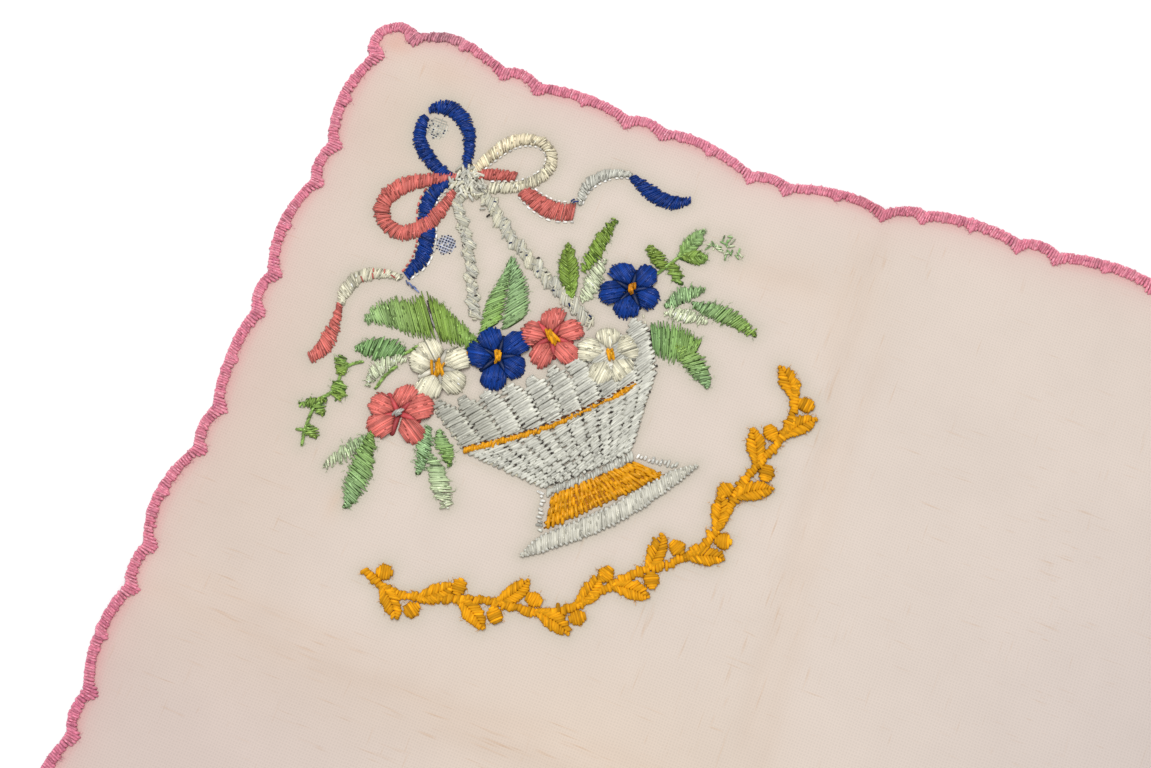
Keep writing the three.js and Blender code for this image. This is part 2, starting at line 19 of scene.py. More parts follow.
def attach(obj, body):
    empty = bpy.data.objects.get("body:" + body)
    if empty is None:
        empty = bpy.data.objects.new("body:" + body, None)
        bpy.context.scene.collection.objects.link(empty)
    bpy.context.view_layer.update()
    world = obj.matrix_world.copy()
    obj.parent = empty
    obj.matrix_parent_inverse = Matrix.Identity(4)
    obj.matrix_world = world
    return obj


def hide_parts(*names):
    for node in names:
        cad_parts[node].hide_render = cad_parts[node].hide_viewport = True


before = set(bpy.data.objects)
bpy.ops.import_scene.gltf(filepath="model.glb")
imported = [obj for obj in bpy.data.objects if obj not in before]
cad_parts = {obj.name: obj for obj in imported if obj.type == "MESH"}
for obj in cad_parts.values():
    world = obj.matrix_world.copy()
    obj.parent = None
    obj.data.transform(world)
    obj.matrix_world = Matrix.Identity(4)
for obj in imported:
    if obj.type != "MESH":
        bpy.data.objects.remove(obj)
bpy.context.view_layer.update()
LOG = logging.getLogger("handkerchief")
MM = 0.001
BODY = "root"
NODE = "handkerchief"

Array = np.ndarray


class Axis(Enum):
    """The two thread directions of the cloth."""

    X = 0
    Y = 1


class Pull(NamedTuple):
    """How far a side has pulled outwards at a distance along it from its left or upper corner."""

    along: float
    out: float


class Ridge(NamedTuple):
    """A soft ridge left by folding in thirds, running along one axis at a place on the other."""

    runs: Axis
    at: float
    drift: float
    rise: float
    reach: float
    peak: float
    fade: float

    def offsets(self, places: Array) -> tuple[Array, Array]:
        """Give how far places are along the ridge and across it, one a row."""
        along = places[:, self.runs.value]
        return along, places[:, 1 - self.runs.value] - self.at - self.drift * along


class Swell(NamedTuple):
    """A low swell where the cloth stands off the surface."""

    x: float
    y: float
    rise: float
    wide: float
    long: float


class Crease(NamedTuple):
    """A sharp fold mark between two places: a trough where rise is below 0."""

    x: float
    y: float
    to_x: float
    to_y: float
    rise: float
    wide: float
    wander: float


class Mark(NamedTuple):
    """A soft oval stain or painted shade, or a worn place that has no colour of its own."""

    x: float
    y: float
    wide: float
    long: float
    strength: float
    colour: str = ""

    def share(self, at: Array) -> Array:
        """Give how much of it is seen at places, one a row."""
        return self.strength * np.exp(-oval(self, at))


# Edge, as on the solid: large and small scallops by turns, and a rounded lobe at each corner
RIM_WIDE = 1.45
LARGE_COUNT = 12
REPEAT = {Axis.X: 19.75, Axis.Y: 21.0}
LARGE_SHARE = 0.71
LARGE_RISE = {Axis.X: 1.0, Axis.Y: 1.6}
SMALL_RISE = 0.7
CORNER_SET = 5.5
CORNER_RISE = 3.7
CORNER_FULL = 0.62
CORNER_LONG = 11.5
LOBE_EASE = 0.3  # evens out the stitches round a lobe
RUN = {axis: (LARGE_COUNT - (1 - LARGE_SHARE)) * repeat / 2 for axis, repeat in REPEAT.items()}
LINE = {axis: run + CORNER_SET for axis, run in RUN.items()}

# How each side has pulled out of line: from the left corner for those across, from the upper for those up
TOP_PULL = (
    Pull(0, 0), Pull(4, 0.4), Pull(10, 1.3), Pull(20, 0.1), Pull(27, -0.4), Pull(45, -0.4), Pull(62, -2.1),
    Pull(78, -0.7), Pull(86, 1.6), Pull(104, 2.5), Pull(130, 4.0), Pull(190, 1.6), Pull(242, 0),
)
LEFT_PULL = (
    Pull(0, 0), Pull(44, 0.6), Pull(56, -0.5), Pull(66, -0.1), Pull(80, 0.9), Pull(88, 0.6), Pull(100, 0.2),
    Pull(115, -0.5), Pull(140, 0.6), Pull(205, -0.8), Pull(257, 0),
)
RIGHT_PULL = (Pull(0, 0), Pull(90, -1.2), Pull(180, 1.0), Pull(257, 0))
BOTTOM_PULL = (Pull(0, 0), Pull(70, 1.4), Pull(118, 3.6), Pull(185, -1.2), Pull(242, 0))

RIDGES = (
    Ridge(Axis.Y, -37.8, -0.035, 0.65, 12, 128, 95),
    Ridge(Axis.Y, 40.5, 0.02, 0.8, 13, -60, 130),
    Ridge(Axis.X, 40.5, 0.01, 0.75, 12, -118, 90),
    Ridge(Axis.X, -42.0, -0.02, 0.85, 14, 70, 120),
)
RIDGE_LEAST = 0.45
SWELLS = (
    Swell(14, 72, 2.4, 34, 44),
    Swell(-92, 12, 1.8, 30, 24),
    Swell(-52, 121, 1.2, 14, 12),
    Swell(84, 96, 2.0, 34, 30),
    Swell(20, -20, 1.5, 22, 24),
    Swell(88, -12, 1.7, 28, 32),
    Swell(-80, -88, 2.1, 34, 30),
    Swell(12, -96, 1.6, 30, 26),
)

# Fold marks, seen as fine soft lines: two or three run side by side at each third
CREASES = (
    Crease(-41.3, 127, -38.6, 86, -0.20, 0.9, 0.5),
    Crease(-39.2, 98, -35.0, 44, -0.18, 0.9, 0.6),
    Crease(-44.6, 125, -42.0, 100, 0.12, 0.9, 0.4),
    Crease(-36.0, 112, -35.0, 68, 0.10, 0.9, 0.5),
    Crease(-34.4, 72, -31.6, 40, -0.12, 0.9, 0.4),
    Crease(-121, 40.2, -94, 38.4, -0.22, 1.0, 0.5),
    Crease(-98, 38.6, -57, 41.3, -0.18, 1.0, 0.7),
    Crease(-118, 43.8, -86, 42.0, 0.12, 0.9, 0.4),
    Crease(-78, 36.4, -44, 38.6, 0.12, 0.9, 0.5),
    Crease(-60, 41.4, -12, 41.0, -0.18, 1.0, 0.6),
    Crease(-53.0, 127, -50.6, 110, -0.22, 1.8, 0.3),
    Crease(-62, 112, -46, 113.4, -0.14, 1.4, 0.5),
    Crease(-8, 112, 2, 58, 0.16, 4.5, 1.5),
    Crease(-24, 86, -4, 72, -0.10, 3.0, 0.8),
    Crease(-112, 30, -84, 17, 0.20, 3.4, 1.0),
    Crease(41.5, 126, 40.6, 30, -0.20, 1.0, 0.7),
    Crease(40.4, 34, 39.2, -128, -0.20, 1.0, 0.8),
    Crease(-36.2, 38, -33.6, -126, -0.20, 1.0, 0.8),
    Crease(-10, 40.8, 118, 42.0, -0.20, 1.0, 0.7),
    Crease(-120, -39.8, 20, -42.4, -0.20, 1.0, 0.8),
    Crease(16, -42.4, 119, -44.0, -0.20, 1.0, 0.6),
    Crease(60, 100, 96, 70, 0.22, 3.2, 1.2),
    Crease(-96, -70, -62, -104, -0.22, 3.0, 1.1),
    Crease(52, -60, 100, -92, 0.24, 3.4, 1.2),
)
CREASE_WAVES = 1.4  # how often a crease wanders from side to side
CREASE_SWAY = 5.3  # a second, slower wander, in radians over its length
CREASE_END = 0.15  # share of its length over which it fades at each end

# Stains and painted shade: painted shade over the swells, the lower half, the left side and the corner;
# yellowed folds and spots
STAINS_AND_SHADE = (
    # painted shade over two swells that stand off the surface
    Mark(-108, 20, 30, 22, 0.75, "#CDBCB5"),
    Mark(16, 68, 28, 34, 0.70, "#CFC2BC"),
    # yellowed folds, then peach spots by the corner lobe
    Mark(-84, 38, 40, 8, 0.22, "#D8BFA8"),
    Mark(-52, 44, 22, 12, 0.30, "#DCC7B0"),
    Mark(-38, 64, 6, 26, 0.08, "#DAC6AC"),
    Mark(-41, 114, 7, 14, 0.08, "#DAC5AA"),
    Mark(-118.3, 126.4, 2.4, 1.8, 0.60, "#D9A38E"),
    Mark(-110, 124.5, 4, 2, 0.25, "#DDB79C"),
    # painted shade in the corner, then a yellowed fold and a spot
    Mark(-110, 115, 13, 12, 0.50, "#CFBBA8"),
    Mark(-54, 113, 12, 5, 0.18, "#DCC2AA"),
    Mark(-99.5, 60.5, 1.1, 2.6, 0.35, "#E2B08A"),
    # painted shade down the left side, then over the swells to the right and across the lower half
    Mark(-113, 70, 14, 32, 0.55, "#D0BCAD"),
    Mark(70, 20, 30, 34, 0.35, "#E0CDBB"),
    Mark(30, -84, 34, 30, 0.45, "#D9C8BE"),
    Mark(-60, -60, 26, 40, 0.30, "#E2CFB8"),
    Mark(96, -104, 20, 16, 0.35, "#E2CBB8"),
)
# Where yarns are bruised, and show as fine streaks: across the cloth, then up it
STREAKED_ACROSS = (
    Mark(-6, 84, 22, 30, 0.55),
    Mark(-70, 34, 40, 9, 0.7),
    Mark(-108, 50, 14, 16, 0.4),
    Mark(60, -20, 50, 40, 0.4),
)
STREAKED_UP = (
    Mark(-34, 66, 9, 26, 0.5),
    Mark(-40, 112, 8, 16, 0.5),
    Mark(-50, 60, 12, 16, 0.4),
    Mark(-20, -70, 40, 40, 0.4),
)
STREAK_REACH = 5.0
STREAK_ON_RIDGE = 0.4
PIN_REACH = 8  # beyond this the cloth feels no stitch
NO_PIN = 1e3
TINY = 1e-9
WAVES_PER_TURN = 20  # Blender's wave texture repeats this often over 2 pi at a scale of 1


def linear(colour: str) -> Array:
    """Turn an sRGB hex colour to linear light.

    Args:
        colour: The colour as #RRGGBB.

    Returns:
        Three linear values from 0 to 1.
    """
    srgb = np.array([int(colour[i:i + 2], 16) for i in (1, 3, 5)]) / 255
    return np.where(srgb <= 0.04045, srgb / 12.92, ((srgb + 0.055) / 1.055) ** 2.4)


def rgba(colour: str) -> tuple[float, ...]:
    """Give an sRGB hex colour as the linear RGBA that a shader socket takes."""
    return (*linear(colour), 1.0)


def smooth(share: Array) -> Array:
    """Ease a share from 0 to 1 with soft ends."""
    return share * share * (3 - 2 * share)


def oval(spot: Swell | Mark, at: Array) -> Array:
    """Give the square of how far places are from a spot's middle, as shares of its reach."""
    return ((at[:, 0] - spot.x) / spot.wide) ** 2 + ((at[:, 1] - spot.y) / spot.long) ** 2


def unit(way: Array) -> Array:
    """Scale directions to a length of 1."""
    return way / np.maximum(np.linalg.norm(way, axis=-1, keepdims=True), TINY)


def left_of(way: Array) -> Array:
    """Turn directions a quarter turn to the left."""
    return np.stack([-way[..., 1], way[..., 0]], axis=-1)


def direction(turn: Array | float) -> Array:
    """Give the directions of angles in radians."""
    return np.stack([np.cos(turn), np.sin(turn)], axis=-1)


def add_node(tree: bpy.types.NodeTree, kind: str, inputs: dict | None = None, **settings) -> bpy.types.Node:
    """Add one shader node with its settings and its linked or constant inputs.

    Args:
        tree: The node tree that gets the node.
        kind: The node's type, such as ShaderNodeMath.
        inputs: Socket name or number to a constant, or to the socket that feeds it.
        settings: Properties of the node.

    Returns:
        The new node.
    """
    node = tree.nodes.new(kind)
    for name, value in settings.items():
        setattr(node, name, value)
    for name, value in (inputs or {}).items():
        if isinstance(value, bpy.types.NodeSocket):
            tree.links.new(value, node.inputs[name])
        else:
            node.inputs[name].default_value = value
    return node


def new_material(name: str) -> tuple[bpy.types.Material, bpy.types.NodeTree, bpy.types.Node]:
    """Make an empty node material.

    Args:
        name: The material's name.

    Returns:
        The material, its node tree and its output node.
    """
    material = bpy.data.materials.new(name)
    material.use_nodes = True
    tree = material.node_tree
    tree.nodes.clear()
    return material, tree, add_node(tree, "ShaderNodeOutputMaterial")


def triangles(piece: bpy.types.Object) -> int:
    """Count a piece's triangles."""
    piece.data.calc_loop_triangles()
    return len(piece.data.loop_triangles)


def mesh_object(name: str, points: Array, faces: list) -> bpy.types.Object:
    """Make a smooth-shaded mesh object at the origin.

    Args:
        name: The object's name.
        points: Vertices in millimetres.
        faces: Vertex numbers of each face.

    Returns:
        The object, linked to the scene.
    """
    mesh = bpy.data.meshes.new(name)
    mesh.from_pydata((points * MM).tolist(), [], faces)
    mesh.polygons.foreach_set("use_smooth", np.ones(len(mesh.polygons), dtype=bool))
    mesh.update()
    piece = bpy.data.objects.new(name, mesh)
    bpy.context.scene.collection.objects.link(piece)
    return piece


@dataclass(frozen=True)
class SheerLawn:
    """Fine sheer lawn, plain-woven from uneven single yarns.

    It gives the eye a matt, slightly see-through net of two thread sets with thick and thin places.
    """

    name: str = "sheer_cotton_lawn"
    pitch: float = 0.40  # thread spacing in mm, a little coarser than real so that it shows
    roughness: float = 0.82
    sheen: float = 0.05
    thread_opacity: float = 0.94
    gap_opacity: float = 0.88
    slub_long: float = 7.0  # length of a thick place along its yarn, in mm
    slub_wide: float = 0.45
    mottle: float = 22.0  # size of the faint cloudiness, in mm
    ripple: float = 4.0  # size of the small unevenness in it, in mm
    mottle_tones: tuple[float, float] = (0.97, 1.02)
    ripple_tones: tuple[float, float] = (0.990, 1.008)
    weave_tones: tuple[float, float] = (0.987, 1.005)
    plain: str = "#DACCC1"
    streak: str = "#CDB096"
    streak_share: float = 0.6  # how much of its colour a streak shows
    bruise: float = 0.09  # how much more easily a bruised yarn shows as a streak
    stray: float = 2.6  # how far yarns stray from straight lines
    relief: float = 0.03  # height of the weave, in mm
    relief_share: float = 0.22
    gloss: float = 0.2

    def material(self) -> bpy.types.Material:
        """Build the shader.

        Returns:
            The material.
        """
        material, tree, output = new_material(self.name)
        place = add_node(tree, "ShaderNodeTexCoord").outputs["Object"]
        worn = add_node(tree, "ShaderNodeAttribute", attribute_name="worn").outputs["Color"]
        worn = add_node(tree, "ShaderNodeSeparateColor", {0: worn})
        waves = 2 * math.pi / (WAVES_PER_TURN * self.pitch * MM)
        rows = []
        streaks = []
        for axis in Axis:
            bands = add_node(
                tree, "ShaderNodeTexWave",
                {"Vector": place, "Scale": waves, "Distortion": self.stray, "Detail": 1.0,
                 "Detail Scale": 0.9},
                wave_type="BANDS", bands_direction=axis.name, wave_profile="SIN",
            )
            rows.append(bands.outputs["Fac"])
            stretch = [1 / (self.slub_wide * MM)] * 3
            stretch[axis.value] = 1 / (self.slub_long * MM)
            yarns = add_node(tree, "ShaderNodeMapping", {"Vector": place, "Scale": stretch})
            slub = add_node(
                tree, "ShaderNodeTexNoise",
                {"Vector": yarns.outputs[0], "Scale": 1.0, "Detail": 2.0, "Roughness": 0.6},
            ).outputs["Fac"]
            bruised = add_node(
                tree, "ShaderNodeMath", {0: worn.outputs[axis.value], 1: self.bruise, 2: slub},
                operation="MULTIPLY_ADD",
            ).outputs[0]
            streaks.append(add_node(
                tree, "ShaderNodeMapRange",
                {"Value": bruised, "From Min": 0.68, "From Max": 0.84, "To Min": 0.0,
                 "To Max": self.streak_share},
            ).outputs[0])
        weave, streak = (
            add_node(tree, "ShaderNodeMath", {0: one, 1: other}, operation="MAXIMUM").outputs[0]
            for one, other in (rows, streaks)
        )
        shade = None
        for size, tones in ((self.mottle, self.mottle_tones), (self.ripple, self.ripple_tones)):
            clouds = add_node(
                tree, "ShaderNodeTexNoise", {"Vector": place, "Scale": 1 / (size * MM), "Detail": 3.0},
            ).outputs["Fac"]
            cloudy = add_node(
                tree, "ShaderNodeMapRange",
                {"Value": clouds, "From Min": 0.3, "From Max": 0.7, "To Min": tones[0], "To Max": tones[1]},
            ).outputs[0]
            shade = cloudy if shade is None else add_node(
                tree, "ShaderNodeMath", {0: shade, 1: cloudy}, operation="MULTIPLY",
            ).outputs[0]
        net = add_node(
            tree, "ShaderNodeMapRange",
            {"Value": weave, "From Min": 0.2, "From Max": 1.0, "To Min": self.weave_tones[0],
             "To Max": self.weave_tones[1]},
        ).outputs[0]
        shade = add_node(tree, "ShaderNodeMath", {0: shade, 1: net}, operation="MULTIPLY").outputs[0]
        tint = add_node(tree, "ShaderNodeAttribute", attribute_name="tint").outputs["Color"]
        lit = add_node(tree, "ShaderNodeVectorMath", {0: tint, 3: shade}, operation="SCALE").outputs[0]
        rubbed = add_node(
            tree, "ShaderNodeVectorMath", {0: lit, 1: tuple(linear(self.streak) / linear(self.plain))},
            operation="MULTIPLY",
        ).outputs[0]
        colour = add_node(
            tree, "ShaderNodeMix", {"Factor": streak, "A": lit, "B": rubbed}, data_type="VECTOR",
        ).outputs["Result"]
        opacity = add_node(
            tree, "ShaderNodeMapRange",
            {"Value": weave, "From Min": 0.35, "From Max": 0.9, "To Min": self.gap_opacity,
             "To Max": self.thread_opacity},
        ).outputs[0]
        bump = add_node(
            tree, "ShaderNodeBump",
            {"Height": weave, "Strength": self.relief_share, "Distance": self.relief * MM},
        )
        shader = add_node(
            tree, "ShaderNodeBsdfPrincipled",
            {"Base Color": colour, "Roughness": self.roughness, "Alpha": opacity, "Normal": bump.outputs[0],
             "Sheen Weight": self.sheen, "Specular IOR Level": self.gloss},
        )
        tree.links.new(shader.outputs[0], output.inputs["Surface"])
        return material


@dataclass(frozen=True)
class Floss:
    """Embroidery or sewing thread whose colour each stitch carries itself.

    It gives the eye a soft gloss along each stitch, broken up by its filaments and by painted bright and dull
    places along the thread.
    """

    name: str
    roughness: float
    sheen: float
    gloss: float
    filament: float = 0.16  # between filaments round the thread, in mm, coarser than real to show
    girth: float = 1.2  # round a thread, in mm
    glint: float = 1.2  # length of a painted bright or dull place along a thread, in mm
    tones: tuple[float, float] = (0.76, 1.18)  # shares of its colour at painted dull and bright places
    relief: float = 0.02  # height of the filaments, in mm
    relief_share: float = 0.5

    def material(self) -> bpy.types.Material:
        """Build the shader.

        Returns:
            The material.
        """
        material, tree, output = new_material(self.name)
        uv = add_node(tree, "ShaderNodeUVMap", uv_map="thread").outputs[0]
        round_share = self.girth / self.filament
        lie = add_node(tree, "ShaderNodeMapping", {"Vector": uv, "Scale": (round_share, 1 / self.glint, 1.0)})
        strands = add_node(
            tree, "ShaderNodeTexNoise", {"Vector": lie.outputs[0], "Scale": 1.0, "Detail": 1.0},
        ).outputs["Fac"]
        # painted bright and dull places along the thread, over its filament streaks
        tone = add_node(
            tree, "ShaderNodeMapRange",
            {"Value": strands, "From Min": 0.3, "From Max": 0.7, "To Min": self.tones[0],
             "To Max": self.tones[1]},
        ).outputs[0]
        # the stitch's colour, which already holds its painted shade and highlights
        dye = add_node(tree, "ShaderNodeAttribute", attribute_name="dye").outputs["Color"]
        colour = add_node(tree, "ShaderNodeVectorMath", {0: dye, 3: tone}, operation="SCALE").outputs[0]
        bump = add_node(
            tree, "ShaderNodeBump",
            {"Height": strands, "Strength": self.relief_share, "Distance": self.relief * MM},
        )
        shader = add_node(
            tree, "ShaderNodeBsdfPrincipled",
            {"Base Color": colour, "Roughness": self.roughness, "Normal": bump.outputs[0],
             "Sheen Weight": self.sheen, "Specular IOR Level": self.gloss},
        )
        tree.links.new(shader.outputs[0], output.inputs["Surface"])
        return material


@dataclass(frozen=True)
class StudioPaper:
    """Matt white studio paper: an even pale ground with a trace of tooth."""

    name: str = "white_studio_paper"
    colour: str = "#F9F9F9"
    tooth: float = 1.5  # size of the paper's grain, in mm
    relief: float = 0.05  # height of the grain, in mm
    relief_share: float = 0.05
    roughness: float = 0.95
    gloss: float = 0.1

    def material(self) -> bpy.types.Material:
        """Build the shader.

        Returns:
            The material.
        """
        material, tree, output = new_material(self.name)
        place = add_node(tree, "ShaderNodeTexCoord").outputs["Object"]
        grain = add_node(tree, "ShaderNodeTexNoise", {"Vector": place, "Scale": 1 / (self.tooth * MM)})
        bump = add_node(
            tree, "ShaderNodeBump",
            {"Height": grain.outputs["Fac"], "Strength": self.relief_share, "Distance": self.relief * MM},
        )
        shader = add_node(
            tree, "ShaderNodeBsdfPrincipled",
            {"Base Color": rgba(self.colour), "Roughness": self.roughness, "Normal": bump.outputs[0],
             "Specular IOR Level": self.gloss},
        )
        tree.links.new(shader.outputs[0], output.inputs["Surface"])
        return material


@dataclass
class Cloth:
    """The sheet itself: its edge line, folds and creases, and the thin mesh that has them."""

    thick: float = 0.18
    lift: float = 0.04
    edge_inset: float = 0.5
    edge_ring: float = 6.5
    fine_step: float = 1.1
    plain_step: float = 1.6
    fine_to_x: float = 16.0
    fine_from_y: float = 24.0
    pucker_deep: float = 0.14
    pucker_reach: float = 1.3
    crease_tint: float = 0.12
    crease_spread: float = 0.5  # how far the tint runs past a fine crease
    fine_crease: float = 1.5  # creases from this width up are not tinted
    blush: str = "#DA9A9B"  # pink that has run from the edge
    blush_share: float = 0.42
    blush_reach: float = 2.4
    blush_near: float = 0.62
    behind: str = "#C8C0B0"  # painted shade round the stitches, with thread ends that show dimly through the cloth
    behind_share: float = 0.90
    behind_reach: float = 1.05
    finish: SheerLawn = field(default_factory=SheerLawn)

    @staticmethod
    def pulled_out(rows: tuple[Pull, ...], along: Array) -> Array:
        """Give how far a side has pulled out at places along it.

        Args:
            rows: The side's table.
            along: Distances from the side's first corner.

        Returns:
            Outward distances.
        """
        at, out = np.array(rows, dtype=float).T
        i = np.clip(np.searchsorted(at, along) - 1, 0, len(rows) - 2)
        share = np.clip((along - at[i]) / (at[i + 1] - at[i]), 0, 1)
        return out[i] + (out[i + 1] - out[i]) * smooth(share)

    def pulled(self, flat: Array) -> Array:
        """Move points of the square cloth to where they lie with its sides pulled out of line.

        Args:
            flat: Points of the flat cloth, one a row.

        Returns:
            The moved points.
        """
        x, y = flat[:, 0], flat[:, 1]
        side_x = np.where(x < 0, self.pulled_out(LEFT_PULL, LINE[Axis.Y] - y),
                          self.pulled_out(RIGHT_PULL, LINE[Axis.Y] - y))
        side_y = np.where(y < 0, self.pulled_out(BOTTOM_PULL, x + LINE[Axis.X]),
                          self.pulled_out(TOP_PULL, x + LINE[Axis.X]))
        out_x = np.sign(x) * (x / LINE[Axis.X]) ** 2 * side_x
        out_y = np.sign(y) * (y / LINE[Axis.Y]) ** 2 * side_y
        return np.stack([x + out_x, y + out_y], axis=1)

    @staticmethod
    def fold(at: Array) -> Array:
        """Give the height of the folds: 0 where the cloth lies on the surface.

        Args:
            at: Places on the cloth, one a row.

        Returns:
            Heights.
        """
        ridges = []
        for ridge in RIDGES:
            along, across = ridge.offsets(at)
            side = np.clip(1 - np.abs(across) / ridge.reach, 0, 1) ** 2
            near = np.exp(-(((along - ridge.peak) / ridge.fade) ** 2))
            ridges.append(ridge.rise * side * (RIDGE_LEAST + (1 - RIDGE_LEAST) * near))
        swells = [swell.rise * np.clip(1 - oval(swell, at), 0, 1) ** 2 for swell in SWELLS]
        return np.max(ridges, axis=0) + np.max(swells, axis=0)

    @staticmethod
    def crease_share(crease: Crease, at: Array, wide: float) -> Array:
        """Give how much of a crease is felt at places on the cloth.

        Args:
            crease: The crease.
            at: Places on the cloth, one a row.
            wide: Half width of the crease's flank.

        Returns:
            Shares from 0 to 1.
        """
        start = np.array([crease.x, crease.y])
        way = np.array([crease.to_x, crease.to_y]) - start
        long = float(np.hypot(*way))
        way = way / long
        along = (at - start) @ way / long
        wave = np.sin(2 * math.pi * CREASE_WAVES * along + crease.x) * np.sin(CREASE_SWAY * along + crease.y)
        across = (at - start) @ left_of(way) - crease.wander * wave
        ends = smooth(np.clip(along / CREASE_END, 0, 1)) * smooth(np.clip((1 - along) / CREASE_END, 0, 1))
        return ends * np.exp(-((across / wide) ** 2))

    def top(self, at: Array) -> Array:
        """Give the height of the cloth's upper face.

        Args:
            at: Places on the cloth, one a row.

        Returns:
            Heights above the surface it lies on.
        """
        marks = sum(crease.rise * self.crease_share(crease, at, crease.wide) for crease in CREASES)
        return self.lift + self.thick + np.maximum(self.fold(at) + marks, 0)

    def side_shift(self, along: Array, axis: Axis) -> tuple[Array, Array]:
        """Move points of a straight side onto its scallops and corner lobe.

        Args:
            along: Distances from the side's middle, up to its corner.
            axis: The axis that the side runs along.

        Returns:
            Lengthwise and outward moves.
        """
        run = RUN[axis]
        long = LINE[axis] - self.edge_inset
        rise = scallop_rise(np.minimum(along, run) + run, axis)
        share = np.clip((along - run) / (long - run), 0, 1) / 2
        lobe = lobe_rise(share) * math.sqrt(0.5)
        corner = CORNER_SET - self.edge_inset
        in_lobe = along > run
        lengthwise = np.where(in_lobe, run + corner * share + lobe - along, 0)
        outward = np.where(in_lobe, lobe - corner * share, rise)
        return lengthwise, outward

    def flat_points(self, x: Array, y: Array) -> Array:
        """Fit the points of a rectangular grid to the scalloped edge.

        Args:
            x: Grid places across.
            y: Grid places up.

        Returns:
            Points of the flat cloth, one a row.
        """
        half = {axis: LINE[axis] - self.edge_inset for axis in Axis}
        near_x = np.clip(1 - (half[Axis.X] - np.abs(x)) / self.edge_ring, 0, 1)
        near_y = np.clip(1 - (half[Axis.Y] - np.abs(y)) / self.edge_ring, 0, 1)
        end_long, end_out = self.side_shift(np.abs(x), Axis.X)
        side_long, side_out = self.side_shift(np.abs(y), Axis.Y)
        tip_long, tip_out = self.side_shift(np.full(1, half[Axis.X]), Axis.X)
        both = near_x * near_y
        move_x = end_long * near_y + side_out * near_x - tip_long * both
        move_y = end_out * near_y + side_long * near_x - tip_out * both
        return np.stack([x + np.sign(x) * move_x, y + np.sign(y) * move_y], axis=1)

    def grid_lines(self, half: float, fine_from: float, fine_to: float) -> Array:
        """Give grid places from -half to half, closer between two of them."""
        stops = [-half, max(fine_from, -half), min(fine_to, half), half]
        steps = [self.plain_step, self.fine_step, self.plain_step]
        runs = [
            np.linspace(a, b, max(1, round((b - a) / step)), endpoint=False)
            for a, b, step in zip(stops, stops[1:], steps) if b > a
        ]
        return np.concatenate([*runs, [half]])

    def build(self, pins: Array) -> bpy.types.Object:
        """Make the sheet: two faces and a rim, drawn down a little at every needle hole.

        Args:
            pins: Places where stitches enter the cloth.

        Returns:
            The sheet.
        """
        xs = self.grid_lines(LINE[Axis.X] - self.edge_inset, -LINE[Axis.X], self.fine_to_x)
        ys = self.grid_lines(LINE[Axis.Y] - self.edge_inset, self.fine_from_y, LINE[Axis.Y])
        grid_x, grid_y = (g.ravel() for g in np.meshgrid(xs, ys))
        at = self.pulled(self.flat_points(grid_x, grid_y))
        to_pin = self.pin_distance(at, pins)
        height = self.top(at) - self.pucker_deep * np.exp(-to_pin / self.pucker_reach)
        height = np.maximum(height, self.lift + self.thick)
        upper = np.column_stack([at, height])
        under = np.column_stack([at, height - self.thick])
        wide, long = len(xs), len(ys)
        number = np.arange(wide * long).reshape(long, wide)
        a, b, c, d = (q.ravel() for q in (number[:-1, :-1], number[:-1, 1:], number[1:, 1:], number[1:, :-1]))
        count = wide * long
        rim = np.concatenate([number[0, :-1], number[:-1, -1], number[-1, :0:-1], number[:0:-1, 0]])
        after = np.roll(rim, -1)
        faces = np.concatenate([
            np.stack([a, b, c, d], axis=1),
            np.stack([d, c, b, a], axis=1) + count,
            np.stack([rim + count, after + count, after, rim], axis=1),
        ])
        sheet = mesh_object("cloth_sheet", np.concatenate([upper, under]), faces.tolist())
        to_edge = np.minimum(xs.max() - np.abs(grid_x), ys.max() - np.abs(grid_y))
        for name, shades in (("tint", self.tint(at, to_edge, to_pin)), ("worn", self.worn(at))):
            layer = sheet.data.attributes.new(name, "FLOAT_COLOR", "POINT")
            both = np.ones((2 * count, 4))
            both[:, :shades.shape[1]] = np.concatenate([shades, shades])
            layer.data.foreach_set("color", both.ravel())
        return sheet

    @staticmethod
    def pin_distance(at: Array, pins: Array) -> Array:
        """Give the distance from each place on the cloth to the nearest needle hole."""
        tree = KDTree(len(pins))
        for i, (x, y) in enumerate(pins):
            tree.insert((x, y, 0), i)
        tree.balance()
        low, high = pins.min(axis=0) - PIN_REACH, pins.max(axis=0) + PIN_REACH
        inside = np.all((at > low) & (at < high), axis=1)
        far = np.full(len(at), NO_PIN)
        far[inside] = [tree.find((x, y, 0))[2] for x, y in at[inside]]
        return far

    def tint(self, at: Array, to_edge: Array, to_pin: Array) -> Array:
        """Colour the cloth: its own colour, stains and painted shade, fold marks, the thread behind it, the
        edge's pink.

        Args:
            at: Places on the cloth, one a row.
            to_edge: Their distances from the edge.
            to_pin: Their distances from the nearest needle hole.

        Returns:
            Linear colours, one a row.
        """
        colour = np.tile(linear(self.finish.plain), (len(at), 1))
        # stains, and painted shade over swells, the lower half, the left side and the corner
        for mark in STAINS_AND_SHADE:
            colour += (linear(mark.colour) - colour) * mark.share(at)[:, None]
        worn = linear(self.finish.streak)
        for crease in CREASES:
            near = self.crease_share(crease, at, crease.wide + self.crease_spread)
            share = self.crease_tint * near[:, None]
            colour += (worn - colour) * share * float(crease.wide < self.fine_crease)
        # painted shade round the stitches, with thread ends that show through the sheer cloth
        dim = self.behind_share * np.exp(-to_pin / self.behind_reach)
        colour += (linear(self.behind) - colour) * dim[:, None]
        run = self.blush_share * np.exp(-to_edge / self.blush_reach)
        run = np.minimum(run + self.blush_near * np.exp(-((2 * to_edge / self.blush_reach) ** 2)), 1)
        return colour + (linear(self.blush) - colour) * run[:, None]

